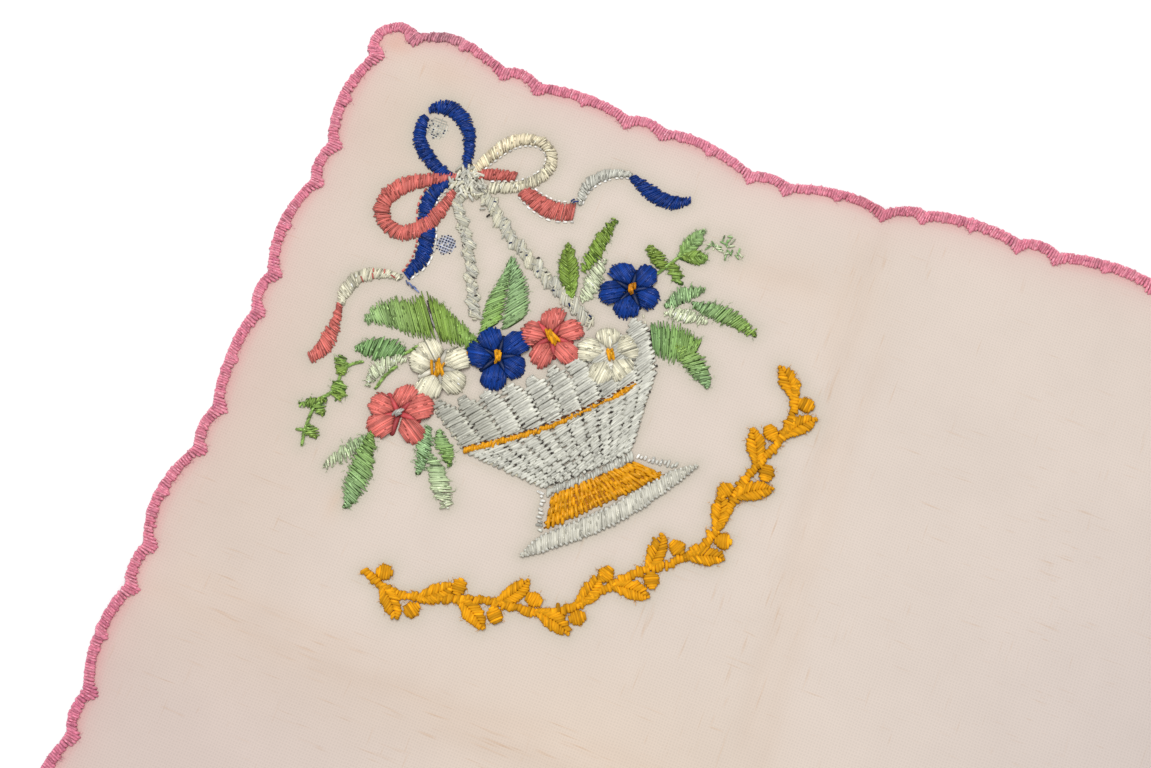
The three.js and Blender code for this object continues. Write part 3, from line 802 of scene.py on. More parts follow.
    @staticmethod
    def worn(at: Array) -> Array:
        """Give how bruised the yarns are: those across the cloth, then those up it.

        Args:
            at: Places on the cloth, one a row.

        Returns:
            Two shares a row.
        """
        shares = [sum(mark.share(at) for mark in marks) for marks in (STREAKED_ACROSS, STREAKED_UP)]
        for ridge in RIDGES:
            _, across = ridge.offsets(at)
            shares[ridge.runs.value] += STREAK_ON_RIDGE * np.exp(-((across / STREAK_REACH) ** 2))
        return np.clip(np.stack(shares, axis=1), 0, 1)

    def dress(self, sheet: bpy.types.Object, trimmings: list[bpy.types.Object]) -> None:
        """Args:
            sheet: The sheet.
            trimmings: The pieces of stitching; not used.
        """
        sheet.data.materials.append(self.finish.material())
        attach(sheet, BODY)
        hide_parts(NODE)


def scallop_rise(along: Array, axis: Axis) -> Array:
    """Give how far a side's scallops stand out from the line of its notches.

    Args:
        along: Distances from the side's first notch.
        axis: The axis that the side runs along.

    Returns:
        Outward distances.
    """
    repeat = REPEAT[axis]
    large = LARGE_SHARE * repeat
    place = np.mod(along, repeat)
    in_large = place / large
    in_small = (place - large) / (repeat - large)
    return np.where(
        place < large,
        LARGE_RISE[axis] * 4 * in_large * (1 - in_large),
        SMALL_RISE * 4 * in_small * (1 - in_small),
    )


def lobe_rise(share: Array) -> Array:
    """Give how far a corner's lobe stands out at shares of the way between its notches."""
    return CORNER_RISE * (4 * share * (1 - share)) ** CORNER_FULL


@dataclass(frozen=True)
class Section:
    """The make of a strand: shares of its length, and its arch, swell and painted shade at each of them."""

    stations: tuple[float, ...]
    arch: tuple[float, ...]
    girth: tuple[float, ...]
    shade: tuple[float, ...]
    sides: int
    flatness: float


# A strand's shade is painted light: painted shade at its ends, where it goes into the cloth, and a painted
# highlight over its crown
FLOSS = Section(
    stations=(0.0, 0.12, 0.5, 0.88, 1.0),
    arch=(0.0, 0.84, 1.0, 0.84, 0.0),
    girth=(0.55, 0.95, 1.0, 0.95, 0.55),
    shade=(0.68, 0.94, 1.03, 0.94, 0.68),
    sides=6,
    flatness=0.72,
)
# Satin: painted highlights on the shoulders, brightest near the far end, painted shade in the middle and at
# the holes
SATIN = replace(
    FLOSS,
    stations=(0.0, 0.05, 0.15, 0.30, 0.70, 0.85, 0.95, 1.0),
    arch=(0.0, 0.55, 0.90, 1.0, 1.0, 0.90, 0.55, 0.0),
    girth=(0.5, 0.85, 1.0, 1.0, 1.0, 1.0, 0.85, 0.5),
    shade=(0.50, 1.08, 1.06, 0.90, 1.10, 1.44, 1.22, 0.50),
)
# Rounded: a painted highlight along the middle, painted shade at the ends
ROUNDED = replace(SATIN, shade=(0.60, 1.04, 1.12, 1.15, 1.15, 1.12, 1.04, 0.60))
# Petals: a painted highlight part way out, painted shade at both ends
PETAL = replace(FLOSS, shade=(0.62, 0.86, 1.18, 1.00, 0.72))
# Tufts: only light painted shade at the ends
TUFT = replace(FLOSS, shade=(0.85, 1.02, 1.0, 1.02, 0.85))
# Whipping: painted highlights near both ends, painted shade across the middle
WHIP = replace(FLOSS, girth=(0.60, 0.95, 1.0, 0.95, 0.60), shade=(0.94, 1.14, 0.84, 1.12, 1.0), sides=4)
# Fibres: painted shade at the root, a little lighter at the tip
FIBRE = Section(
    stations=(0.0, 0.5, 1.0), arch=(0.0, 1.0, 0.7), girth=(1.0, 0.9, 0.4), shade=(0.9, 1.0, 1.1), sides=3,
    flatness=1.0,
)
FLECK = Section(
    stations=(0.0, 0.5, 1.0), arch=(0.88, 1.0, 0.88), girth=(0.5, 1.0, 0.5), shade=(1.0, 1.0, 1.0), sides=4,
    flatness=0.6,
)


class Strands(NamedTuple):
    """A row of stitches: needle holes, thread sizes, heights and colours, one stitch a row."""

    start: Array
    end: Array
    wide: Array
    high: Array
    colour: Array
    lift: Array
    sink: Array


# A painted highlight on a thread: so many times its colour, and so much white light
GLINT = 1.35
GLOSS = 0.045
MAP_SCATTER = 50.0  # stitches start at scattered places on the thread's pattern
CROWN = FLOSS.flatness / 2  # a thread's upper side over its middle, as a share of its width


@dataclass
class Needlework:
    """Stitches gathered for one piece, each a small strand arched from one needle hole to the next."""

    cloth: Cloth
    seed: int
    spread: float = 0.06  # how much the shade differs from stitch to stitch
    dull: float = 0.60  # share of the thread's colour at a painted dull place, turned from the light
    uneven: tuple[float, float] = (0.07, 0.10)  # how much threads differ in width and height
    fibre_wide: float = 0.07
    fibre_high: float = 0.3
    fibre_scatter: float = 0.12
    fleck_wide: float = 0.20
    fleck_longs: tuple[float, float] = (0.35, 0.9)
    fleck_most: float = 0.2  # half its length at most, as a share of its stitch
    clear: float = 0.02  # least height of a thread over the floor
    rows: dict[Section, list[Strands]] = field(default_factory=dict)

    def __post_init__(self) -> None:
        """Start the piece's own run of random numbers."""
        self.rng = np.random.default_rng(self.seed)

    def sew(self, start: Array, end: Array, wide: float, high: float, colour: Array,
            lift: float = 0.0, sink: float = 0.03, section: Section = FLOSS) -> None:
        """Add a row of stitches.

        Args:
            start: Needle holes at the first ends, one a row.
            end: Needle holes at the other ends.
            wide: Width of the thread.
            high: How far a stitch stands up at its middle.
            colour: One linear colour, or one for each stitch.
            lift: Height of the stitches below this row.
            sink: How deep the ends go into the cloth.
            section: The strand's make.
        """
        count = len(start)
        shade = 1 + self.rng.normal(0, self.spread, (count, 1))
        self.rows.setdefault(section, []).append(Strands(
            start, end,
            wide * (1 + self.rng.normal(0, self.uneven[0], count)),
            high * (1 + self.rng.normal(0, self.uneven[1], count)),
            np.clip(np.broadcast_to(colour, (count, 3)) * shade, 0, 1),
            np.full(count, lift),
            np.full(count, sink),
        ))

    def fray(self, places: Array, count: int, long: float, colour: Array) -> None:
        """Let fine fibres stand off the thread near some places.

        Args:
            places: Where the thread is, one place a row.
            count: How many fibres.
            long: Their usual length.
            colour: Linear colour of the thread.
        """
        root = places[self.rng.integers(0, len(places), count)]
        root = root + self.rng.normal(0, self.fibre_scatter, (count, 2))
        turn = self.rng.uniform(0, 2 * math.pi, count)
        reach = long * self.rng.uniform(0.5, 1.4, count)
        tip = root + reach[:, None] * direction(turn)
        self.sew(root, tip, self.fibre_wide, self.fibre_high, colour, section=FIBRE)

    def fleck(self, start: Array, end: Array, top: float, colour: Array, share: float) -> None:
        """Lay short places along stitches where the thread catches the light or turns away from it.

        Args:
            start: Needle holes at the stitches' first ends, one a row.
            end: Needle holes at their other ends.
            top: Height of their upper side.
            colour: One linear colour, or one for each stitch.
            share: How many such places there are for each stitch.
        """
        count = round(share * len(start))
        picked = self.rng.integers(0, len(start), count)
        way = (end - start)[picked]
        middle = start[picked] + way * self.rng.uniform(0.22, 0.78, (count, 1))
        long = self.rng.uniform(*self.fleck_longs, (count, 1))
        half = 0.5 * long / np.linalg.norm(way, axis=1, keepdims=True)
        reach = np.minimum(half, self.fleck_most) * way
        own = np.broadcast_to(colour, (len(start), 3))[picked]
        bright = self.rng.uniform(0, 1, (count, 1)) < 0.5
        places = np.where(bright, GLINT * own + GLOSS, self.dull * own)
        self.sew(middle - reach, middle + reach, self.fleck_wide, 0.0, places, lift=top, section=FLECK)

    def pins(self) -> Array:
        """Give the needle holes of all stitches, one a row."""
        rows = [row for section in self.rows if section not in (FIBRE, FLECK) for row in self.rows[section]]
        return np.concatenate([np.concatenate([row.start, row.end]) for row in rows])

    def build(self, name: str) -> bpy.types.Object:
        """Make one mesh of all the stitches.

        Args:
            name: The piece's name.

        Returns:
            The piece, with its stitch colours and a map along each thread.
        """
        points, faces, dyes, maps = [], [], [], []
        count = 0
        for section, rows in self.rows.items():
            strands = Strands(*(np.concatenate(part) for part in zip(*rows)))
            points.append(self.surface(strands, section))
            faces += self.faces(len(strands.start), section, count)
            dyes.append(self.dye(strands, section))
            maps.append(self.thread_map(strands, section))
            count += len(points[-1])
        piece = mesh_object(name, np.concatenate(points), faces)
        layer = piece.data.attributes.new("dye", "FLOAT_COLOR", "POINT")
        layer.data.foreach_set("color", np.concatenate(dyes))
        layer = piece.data.uv_layers.new(name="thread")
        layer.data.foreach_set("uv", np.concatenate(maps))
        return piece

    def surface(self, strands: Strands, section: Section) -> Array:
        """Give the points of the strands' rings.

        Args:
            strands: The stitches.
            section: Their make.

        Returns:
            Points, one a row.
        """
        share, arch, girth = (np.array(row) for row in (section.stations, section.arch, section.girth))
        way = strands.end - strands.start
        at = strands.start[:, None] + way[:, None] * share[None, :, None]
        ground = self.cloth.top(at.reshape(-1, 2)).reshape(len(way), len(share))
        half = 0.5 * strands.wide[:, None] * girth
        level = ground + (strands.lift[:, None] + strands.high[:, None]) * arch
        level = level - strands.sink[:, None] * (arch == 0)
        level = np.maximum(level, half * section.flatness + self.clear)
        aside = left_of(unit(way))
        turn = 2 * math.pi * np.arange(section.sides) / section.sides
        out = half[:, :, None] * np.cos(turn)
        points = np.empty((*out.shape, 3))
        points[..., :2] = at[:, :, None] + out[..., None] * aside[:, None, None]
        points[..., 2] = level[:, :, None] + half[:, :, None] * np.sin(turn) * section.flatness
        return points.reshape(-1, 3)

    @staticmethod
    def faces(count: int, section: Section, first: int) -> list[list[int]]:
        """Give the faces of strands whose rings are numbered from a first point."""
        steps, sides = len(section.stations), section.sides
        ring = first + np.arange(count * steps * sides).reshape(count, steps, sides)
        after = np.roll(ring, -1, axis=2)
        quads = np.stack([ring[:, :-1], after[:, :-1], after[:, 1:], ring[:, 1:]], axis=-1)
        caps = np.concatenate([ring[:, 0, ::-1], ring[:, -1]])
        return quads.reshape(-1, 4).tolist() + caps.tolist()

    @staticmethod
    def dye(strands: Strands, section: Section) -> Array:
        """Give each point's colour, with painted shade where a stitch enters the cloth and painted
        highlights.
        """
        dye = np.ones((len(strands.start), len(section.stations), section.sides, 4))
        dye[..., :3] = strands.colour[:, None, None] * np.array(section.shade)[None, :, None, None]
        return dye.ravel()

    def thread_map(self, strands: Strands, section: Section) -> Array:
        """Lay out a map that runs round and along every thread.

        Args:
            strands: The stitches.
            section: Their make.

        Returns:
            Map places of all face corners, in the faces' order.
        """
        long = np.linalg.norm(strands.end - strands.start, axis=1)
        along = self.rng.uniform(0, MAP_SCATTER, len(long))[:, None]
        along = along + long[:, None] * np.array(section.stations)
        quad = np.empty((len(long), len(section.stations) - 1, section.sides, 4, 2))
        quad[..., 0] = (np.arange(section.sides)[:, None] + np.array([0, 1, 1, 0])) / section.sides
        for corner, step in enumerate((0, 0, 1, 1)):
            quad[..., corner, 1] = along[:, step:len(section.stations) - 1 + step, None]
        return np.concatenate([quad.ravel(), np.zeros(4 * len(long) * section.sides)])


@dataclass
class WhippedEdge:
    """The scalloped edge, whipped over padding with pink thread."""

    name: str = "whipped_edge"
    pitch: float = 0.36
    thread: float = 0.47
    high: float = 0.42
    nib_reach: float = 1.5
    notch_nib: float = 0.72
    middle_nib: float = 0.52
    gather: float = 0.8
    easing: int = 6
    ragged: float = 0.10
    spread: float = 0.06
    dull: float = 0.84
    pad_in: float = 0.8
    pad_wide: float = 0.95
    pad_every: int = 6  # stitches over one length of padding
    past: tuple[float, float] = (0.06, 0.08)  # how far stitches run past the rim, outside and inside
    lean: tuple[float, float] = (0.12, 0.03)  # how far a stitch leans, and by how much that differs
    sink: float = 0.10
    fibres: int = 1600
    fibre_long: float = 0.42
    pink: str = "#E0859A"
    deep_pink: str = "#B85F7C"
    pale_pink: str = "#EDA8B4"
    seed: int = 3
    finish: Floss = Floss(
        "pink_cotton_thread", roughness=0.85, sheen=0.1, gloss=0.3, glint=0.45, tones=(0.70, 1.26),
    )

    # Darker and paler places along the edge
    DARKER_AND_PALER = (
        Mark(-112.6, 129.7, 3.6, 3.6, 0.60, "#8E7F80"),
        Mark(-121, 14, 22, 22, 0.40, "#C4648A"),
        Mark(-70, 128, 16, 16, 0.30, "#F0A2B6"),
        Mark(-44, 128, 5, 5, 0.45, "#B8606C"),
        Mark(60, -130, 20, 20, 0.35, "#C56C88"),
        Mark(122, 60, 16, 16, 0.35, "#F0A2B6"),
    )

    def trace(self) -> tuple[Array, Array, Array]:
        """Follow the whole edge of the flat cloth at the stitches' spacing.

        Returns:
            Points on the edge, outward directions, and each stitch's extra depth and lean at a notch.
        """
        points, nibs = [], []
        for quarter, axis in enumerate((Axis.X, Axis.Y, Axis.X, Axis.Y)):
            run, line = RUN[axis], LINE[Axis(1 - axis.value)]
            along = np.arange(0, 2 * run, self.pitch)
            side = np.stack([along - run, -line - scallop_rise(along, axis)], axis=1)
            share = np.arange(0, 1, self.pitch / CORNER_LONG)
            share = 0.5 - 0.5 * np.cos(math.pi * (LOBE_EASE * smooth(share) + (1 - LOBE_EASE) * share))
            bulge = lobe_rise(share) * math.sqrt(0.5)
            lobe = np.stack([run + CORNER_SET * share + bulge, CORNER_SET * share - bulge - line], axis=1)
            turn = quarter * math.pi / 2
            spin = np.array([[math.cos(turn), math.sin(turn)], [-math.sin(turn), math.cos(turn)]])
            points.append(np.concatenate([side, lobe]) @ spin)
            repeat = REPEAT[axis]
            large = LARGE_SHARE * repeat
            stops = np.array([0, large / 2, large, repeat])
            deep = np.array([self.notch_nib, self.middle_nib, self.notch_nib, self.notch_nib])
            nibs.append(self.nib(np.mod(along, repeat), stops, deep))
            nibs.append(self.nib(share * CORNER_LONG, np.array([0, CORNER_LONG]), deep[2:]))
        edge = np.concatenate(points)
        way = unit(np.roll(edge, -1, axis=0) - np.roll(edge, 1, axis=0))
        for _ in range(self.easing):
            way = (np.roll(way, 1, axis=0) + way + np.roll(way, -1, axis=0)) / 3
        return edge, -left_of(unit(way)), np.concatenate(nibs)

    def nib(self, place: Array, stops: Array, deep: Array) -> Array:
        """Give how stitches gather to a point at the nibs that stand inwards from the edge.

        Args:
            place: Distances along the edge.
            stops: Distances of the nibs' middles.
            deep: The nibs' depths.

        Returns:
            Each stitch's extra depth, and how far its inner end moves along the edge.
        """
        off = stops - place[:, None]
        nearest = np.argmin(np.abs(off), axis=1)
        off = off[np.arange(len(place)), nearest]
        near = np.clip(1 - np.abs(off) / self.nib_reach, 0, 1)
        return np.stack([deep[nearest] * smooth(near), self.gather * off * near], axis=1)

    def build(self, cloth: Cloth) -> tuple[bpy.types.Object, Array]:
        """Sew the padding and the whip stitches.

        Args:
            cloth: The cloth that is whipped.

        Returns:
            The piece and its needle holes.
        """
        work = Needlework(cloth, self.seed, self.spread, self.dull)
        edge, out, nib = self.trace()
        count = len(edge)
        way = left_of(out)
        start = cloth.pulled(edge - out * self.pad_in)[::self.pad_every]
        work.sew(start, np.roll(start, -1, axis=0), self.pad_wide, 0.0, linear(self.deep_pink), section=WHIP)
        inner = work.rng.normal(0, self.ragged, (count, 1))
        outer = work.rng.normal(0, self.ragged * 0.6, (count, 1))
        lean = work.rng.normal(*self.lean, (count, 1))
        first = cloth.pulled(edge + out * (self.past[0] + outer) - way * lean)
        deep = RIM_WIDE + self.past[1] + nib[:, :1] + inner
        last = cloth.pulled(edge - out * deep + way * (lean + nib[:, 1:]))
        colour = self.colours(work.rng, first)
        work.sew(first, last, self.thread, self.high, colour, sink=self.sink, section=WHIP)
        work.fleck(first, last, self.high + CROWN * self.thread, colour, share=1.0)
        work.fray(last, self.fibres, self.fibre_long, linear(self.pale_pink))
        return work.build(self.name), last

    def colours(self, rng: np.random.Generator, at: Array) -> Array:
        """Colour the stitches: uneven pink, with darker and paler places.

        Args:
            rng: Source of the unevenness.
            at: Where each stitch is.

        Returns:
            Linear colours, one a row.
        """
        pale = np.clip(rng.normal(0.12, 0.2, (len(at), 1)), 0, 1)
        colour = linear(self.pink) * (1 - pale) + linear(self.pale_pink) * pale
        deep = 0.4 * (rng.uniform(0, 1, (len(at), 1)) < 0.10)
        colour = colour * (1 - deep) + linear(self.deep_pink) * deep
        for mark in self.DARKER_AND_PALER:
            share = (mark.share(at) * rng.uniform(0.5, 1.0, len(at)))[:, None]
            colour = colour * (1 - share) + linear(mark.colour) * share
        return colour

    def dress(self, piece: bpy.types.Object) -> None:
        """Finish the edge."""
        piece.data.materials.append(self.finish.material())
        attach(piece, BODY)


class Dye(Enum):
    """Embroidery threads, by the colour they show."""

    BLUE = "#08327C"
    NAVY = "#06204F"
    PALE_BLUE = "#6C7DB0"
    FAINT_BLUE = "#BBC0D0"
    CORAL = "#CB6C63"
    DEEP_CORAL = "#B5464A"
    CREAM = "#D8D3BB"
    IVORY = "#EBDBB9"
    PEWTER = "#C2BEB0"
    DULL = "#ADACA0"
    BASE = "#CCC9BB"
    # painted shadow along the gold band's upper side
    BROWN = "#6A3A12"
    # dark underlay, partly real and partly painted shade that shows between the leaf stitches
    MOSS = "#46602E"
    SILVER = "#C0BFB4"
    GREY = "#A9A59E"
    WHITE = "#EFECE5"
    GOLD = "#DE9A10"
    DEEP_GOLD = "#B9760C"
    GRASS = "#88A956"
    FRESH = "#86A446"
    OLIVE = "#7E9640"
    LEAF = "#82A76A"
    MINT = "#97B57D"
    SEA = "#93B381"
    PALE = "#D6DDBB"
    # painted shadow, for holes and dark gaps
    SHADOW = "#3E3733"

    @property
    def light(self) -> Array:
        """The colour in linear light."""
        return linear(self.value)


class Fill(Enum):
    """How a leaf is filled: slanting stitches right across it, or two rows that meet at its rib."""

    ACROSS = "across"
    FISHBONE = "fishbone"


class Leaf(NamedTuple):
    """A leaf from its base to its tip, bowed to the left of that line."""

    s: float
    t: float
    tip_s: float
    tip_t: float
    wide: float
    bow: float
    base: Dye
    tip: Dye
    fill: Fill = Fill.ACROSS


class Patch(NamedTuple):
    """A shape filled from one side to the other, shading from one thread to the next along it."""

    base: Dye
    tip: Dye
    one: tuple[tuple[float, float], ...]
    other: tuple[tuple[float, float], ...]


class Flower(NamedTuple):
    """A five-petalled flower, with the direction and length of its eye's stitches."""

    s: float
    t: float
    radius: float
    turn: float
    petal: Dye
    gap: Dye
    eye: Dye
    eye_turn: float
    eye_long: float


# Corner embroidery: s runs across, t runs towards the corner, from the basket's waist
MOTIF_AT = np.array([-68.5, 76.7])
MOTIF_TURN = np.array([[1.0, 1.0], [-1.0, 1.0]]) * math.sqrt(0.5)
STITCH_PITCH = 0.37
FLOSS_WIDE = 0.44
LINE_STEPS = 14  # from each place of a line to the next


def on_cloth(points: Array) -> Array:
    """Turn embroidery places (s, t), one a row, to places on the cloth."""
    return MOTIF_AT + np.asarray(points, dtype=float) @ MOTIF_TURN


def through(points: tuple[tuple[float, ...], ...]) -> Array:
    """Draw a smooth line through a few places.

    Args:
        points: The places, in order, with any further number that changes along the line.

    Returns:
        Close points along the line.
    """
    p = np.array(points, dtype=float)
    p = np.concatenate([[2 * p[0] - p[1]], p, [2 * p[-1] - p[-2]]])
    q = np.linspace(0, 1, LINE_STEPS, endpoint=False)[:, None]
    runs = [
        0.5 * (2 * b + (c - a) * q + (2 * a - 5 * b + 4 * c - d) * q ** 2 + (3 * b - a - 3 * c + d) * q ** 3)
        for a, b, c, d in zip(p, p[1:], p[2:], p[3:])
    ]
    return np.concatenate([*runs, p[-2:-1]])


@dataclass
class Route:
    """A line that stitches follow, with half the width of the band at each point."""

    line: Array
    half: Array | float = 0.25

    def __post_init__(self) -> None:
        """Measure the line."""
        self.half = np.broadcast_to(self.half, len(self.line))
        self.far = np.concatenate([[0], np.cumsum(np.linalg.norm(np.diff(self.line, axis=0), axis=1))])
        self.way = unit(np.gradient(self.line, axis=0))

    @property
    def long(self) -> float:
        """The line's length."""
        return float(self.far[-1])

    def at(self, along: Array, aside: Array | float = 0.0) -> Array:
        """Give places beside the line.

        Args:
            along: Distances along the line, held between its ends.
            aside: Distances to the left of the line.

        Returns:
            Places, one a row.
        """
        along = np.clip(along, 0, self.long)
        place = np.stack([np.interp(along, self.far, self.line[:, i]) for i in (0, 1)], axis=1)
        way = np.stack([np.interp(along, self.far, self.way[:, i]) for i in (0, 1)], axis=1)
        return place + left_of(way) * np.broadcast_to(aside, len(along))[:, None]

    def width(self, along: Array) -> Array:
        """Give half the band's width at distances along the line."""
        return np.interp(along, self.far, self.half)


def shaded(one: Dye, other: Dye, share: Array) -> Array:
    """Mix two threads' colours by shares, one a row."""
    return one.light * (1 - share[:, None]) + other.light * share[:, None]


@dataclass
class Embroiderer:
    """The stitches that all the corner's pieces are worked in, with the sizes that they share."""

    work: Needlework
    flecks: float = 0.0  # painted highlights and shades for each stitch
    flecked_from: float = 0.2  # rows that stand up less show none
    uneven: float = 0.07  # how far stitches stray, as a share of their spacing
    edging_pitch: float = 0.95
    edging_half: float = 0.3
    edging_off: float = 0.14  # how far it lies outside its band
    hole_share: float = 0.62
    hole_half: float = 0.28
    dot_pitch: float = 0.33
    net_pitch: float = 0.40

    def stops(self, long: float, pitch: float) -> Array:
        """Give slightly uneven stitch places along a line of some length."""
        even = np.linspace(0, long, max(2, round(long / pitch)) + 1)[:-1] + pitch / 2
        return even + self.jitter(len(even), self.uneven * pitch)

    def jitter(self, count: int, spread: float) -> Array:
        """Give small random differences."""
        return self.work.rng.normal(0, spread, count)

    def sew(self, start: Array, end: Array, wide: float, high: float, colour: Array, lift: float = 0.0,
            section: Section = FLOSS) -> None:
        """Sew stitches between embroidery places."""
        start, end = on_cloth(start), on_cloth(end)
        self.work.sew(start, end, wide, high, colour, lift, section=section)
        if self.flecks and high > self.flecked_from:
            self.work.fleck(start, end, lift + high + CROWN * wide, colour, self.flecks)

    def satin(self, route: Route, dyes: tuple[Dye, Dye], slant: float, high: float, lift: float = 0.0,
              pitch: float = STITCH_PITCH, wide: float = FLOSS_WIDE, ragged: float = 0.18) -> None:
        """Fill a band with stitches right across it.

        Args:
            route: The band.
            dyes: Thread at its start and at its end.
            slant: How far a stitch leans along the band, as a share of its half width.
            high: How far the stitches stand up.
            lift: Height of what lies below.
            pitch: Spacing of the stitches.
            wide: Width of the thread.
            ragged: Unevenness of the band's sides, in mm.
        """
        along = self.stops(route.long, pitch)
        half = route.width(along)
        lean = slant * half + self.jitter(len(along), 0.4 * ragged)
        start = route.at(along + lean, half + self.jitter(len(along), ragged))
        end = route.at(along - lean, -half - self.jitter(len(along), ragged))
        self.sew(start, end, wide, high, shaded(*dyes, along / route.long), lift)

    def between(self, one: Array, other: Array, dyes: tuple[Dye, Dye], high: float, teeth: float = 0.12,
                pitch: float = STITCH_PITCH, wide: float = FLOSS_WIDE, section: Section = FLOSS,
                slant: float = 0.0) -> None:
        """Fill a shape with stitches from one of its sides to the other.

        Args:
            one: Close points along the first side.
            other: Close points along the second side.
            dyes: Thread at the sides' start and at their end.
            high: How far the stitches stand up.
            teeth: How far every second stitch runs past the sides.
            pitch: Spacing of the stitches.
            wide: Width of the thread.
            section: The make of the stitches.
            slant: How far a stitch leans, from its middle to its end.
        """
        sides = Route(one), Route(other)
        share = self.stops(1.0, pitch / max(side.long for side in sides))
        start, end = (
            side.at(share * side.long + lean + self.jitter(len(share), 0.25 * teeth))
            for side, lean in zip(sides, (-slant, slant))
        )
        past = np.where(np.arange(len(share)) % 2, teeth, -teeth) + self.jitter(len(share), 0.6 * teeth)
        past = past[:, None] * unit(end - start)
        self.sew(start - past, end + past, wide, high, shaded(*dyes, share), section=section)

    def fishbone(self, route: Route, dyes: tuple[Dye, Dye], slant: float, high: float, lift: float = 0.0,
                 pitch: float = STITCH_PITCH, wide: float = FLOSS_WIDE) -> None:
        """Fill a leaf with two rows of stitches that meet along its rib.

        Args:
            route: The leaf.
            dyes: Thread at its base and at its tip.
            slant: How far a stitch leans towards the tip, as a share of the half width.
            high: How far the stitches stand up.
            lift: Height of what lies below.
            pitch: Spacing of the stitches.
            wide: Width of the thread.
        """
        for side in (1, -1):
            along = self.stops(route.long, pitch)
            half = route.width(along) + self.jitter(len(along), 0.1)
            rib = route.at(along - 0.5 * slant * half, -side * 0.10)
            rim = route.at(along + 0.5 * slant * half, side * half)
            self.sew(rib, rim, wide, high, shaded(*dyes, along / route.long), lift)

    def stem(self, route: Route, dye: Dye, wide: float, high: float, lift: float = 0.0,
             stitch: float = 1.1, pitch: float = 0.55) -> None:
        """Work a line of short overlapping stitches along a route."""
        along = self.stops(route.long, pitch)
        lean = 0.35 * wide
        start, end = route.at(along - stitch / 2, lean), route.at(along + stitch / 2, -lean)
        self.sew(start, end, wide, high, dye.light, lift)

    def edging(self, route: Route, side: int, dye: Dye) -> None:
        """Work short spaced stitches along one side of a band."""
        along = self.stops(route.long, self.edging_pitch)
        rim = side * (route.width(along) + self.edging_off)
        start, end = route.at(along - self.edging_half, rim), route.at(along + self.edging_half, rim)
        self.sew(start, end, wide=0.30, high=0.16, colour=dye.light)

    def holes(self, places: Array) -> None:
        """Show the shade in needle holes as small dark specks."""
        rng = self.work.rng
        places = places[rng.uniform(0, 1, len(places)) < self.hole_share] + rng.normal(0, 0.10, (1, 2))
        step = np.array([self.hole_half, 0.0]) + rng.normal(0, 0.06, places.shape)
        start, end = on_cloth(places - step), on_cloth(places + step)
        self.work.sew(start, end, wide=0.28, high=0.34, colour=Dye.SHADOW.light)

    def tufts(self, places: Array, turns: Array, long: float, dyes: tuple[Dye, ...], wide: float, high: float,
              lift: float = 0.0) -> None:
        """Sew loose stitches that lie this way and that.

        Args:
            places: Their middles, one a row.
            turns: Their directions in degrees.
            long: Their usual length.
            dyes: Threads to choose from.
            wide: Width of the thread.
            high: How far they stand up.
            lift: Height of what lies below.
        """
        half = 0.5 * long * self.work.rng.uniform(0.75, 1.25, len(places))
        reach = half[:, None] * direction(np.radians(turns))
        threads = np.stack([dye.light for dye in dyes])[self.work.rng.integers(0, len(dyes), len(places))]
        self.sew(places - reach, places + reach, wide, high, threads, lift, TUFT)

    def dot(self, centre: Array, radius: float, turn: float, dye: Dye, high: float, lift: float) -> None:
        """Fill a small round with parallel stitches.

        Args:
            centre: Its middle.
            radius: Half its width.
            turn: Direction of the stitches, in degrees.
            dye: The thread.
            high: How far the stitches stand up.
            lift: Height of what lies below.
        """
        off = np.arange(-radius + 0.15, radius, self.dot_pitch)
        half = radius * np.sqrt(np.maximum(1 - (off / radius) ** 2, 0.12)) + self.jitter(len(off), 0.08)
        way = direction(math.radians(turn))
        middle = centre + off[:, None] * left_of(way)
        reach = half[:, None] * way
        self.sew(middle - reach, middle + reach, FLOSS_WIDE, high, dye.light, lift)

    def net(self, centre: tuple[float, float], radius: float, share: float, yarn: Dye) -> None:
        """Show thread carried behind the cloth: pale yarns, with the thread dark in the gaps between them.

        Args:
            centre: Middle of the place.
            radius: How far it reaches.
            share: Share of the gaps that show the thread.
            yarn: Colour of the yarns over it.
        """
        rng = self.work.rng
        off = np.arange(-radius, radius, self.net_pitch)
        half = np.sqrt(np.maximum(radius ** 2 - off ** 2, 0.01)) * rng.uniform(0.6, 1.0, len(off))
        middle = on_cloth(np.array([centre]))[0]
        gaps = np.stack(np.meshgrid(off, off), axis=2).reshape(-1, 2) + self.net_pitch / 2
        shown = (np.hypot(*gaps.T) < 0.9 * radius) & (rng.uniform(0, 1, len(gaps)) < share)
        gaps = middle + gaps[shown] + rng.normal(0, 0.02, (shown.sum(), 2))
        step = [0.3 * self.net_pitch, 0]
        self.work.sew(gaps - step, gaps + step, wide=0.22, high=0.0, colour=Dye.NAVY.light, sink=0.0)
        for along, aside in np.stack([np.eye(2), np.eye(2)[::-1]], axis=1):
            place = middle + off[:, None] * aside
            reach = half[:, None] * along
            self.work.sew(place - reach, place + reach, wide=0.14, high=0.02, colour=yarn.light, sink=0.0)


def leaf_route(leaf: Leaf) -> Route:
    """Give a leaf's rib and half widths: pointed at both ends, widest short of its middle."""
    q = np.linspace(0, 1, 24)
    base, tip = np.array([leaf.s, leaf.t]), np.array([leaf.tip_s, leaf.tip_t])
    way = tip - base
    line = base + q[:, None] * way + (leaf.bow * 4 * q * (1 - q))[:, None] * left_of(unit(way))
    return Route(line, 0.08 + leaf.wide / 2 * np.sin(math.pi * q ** 0.9) ** 0.8)


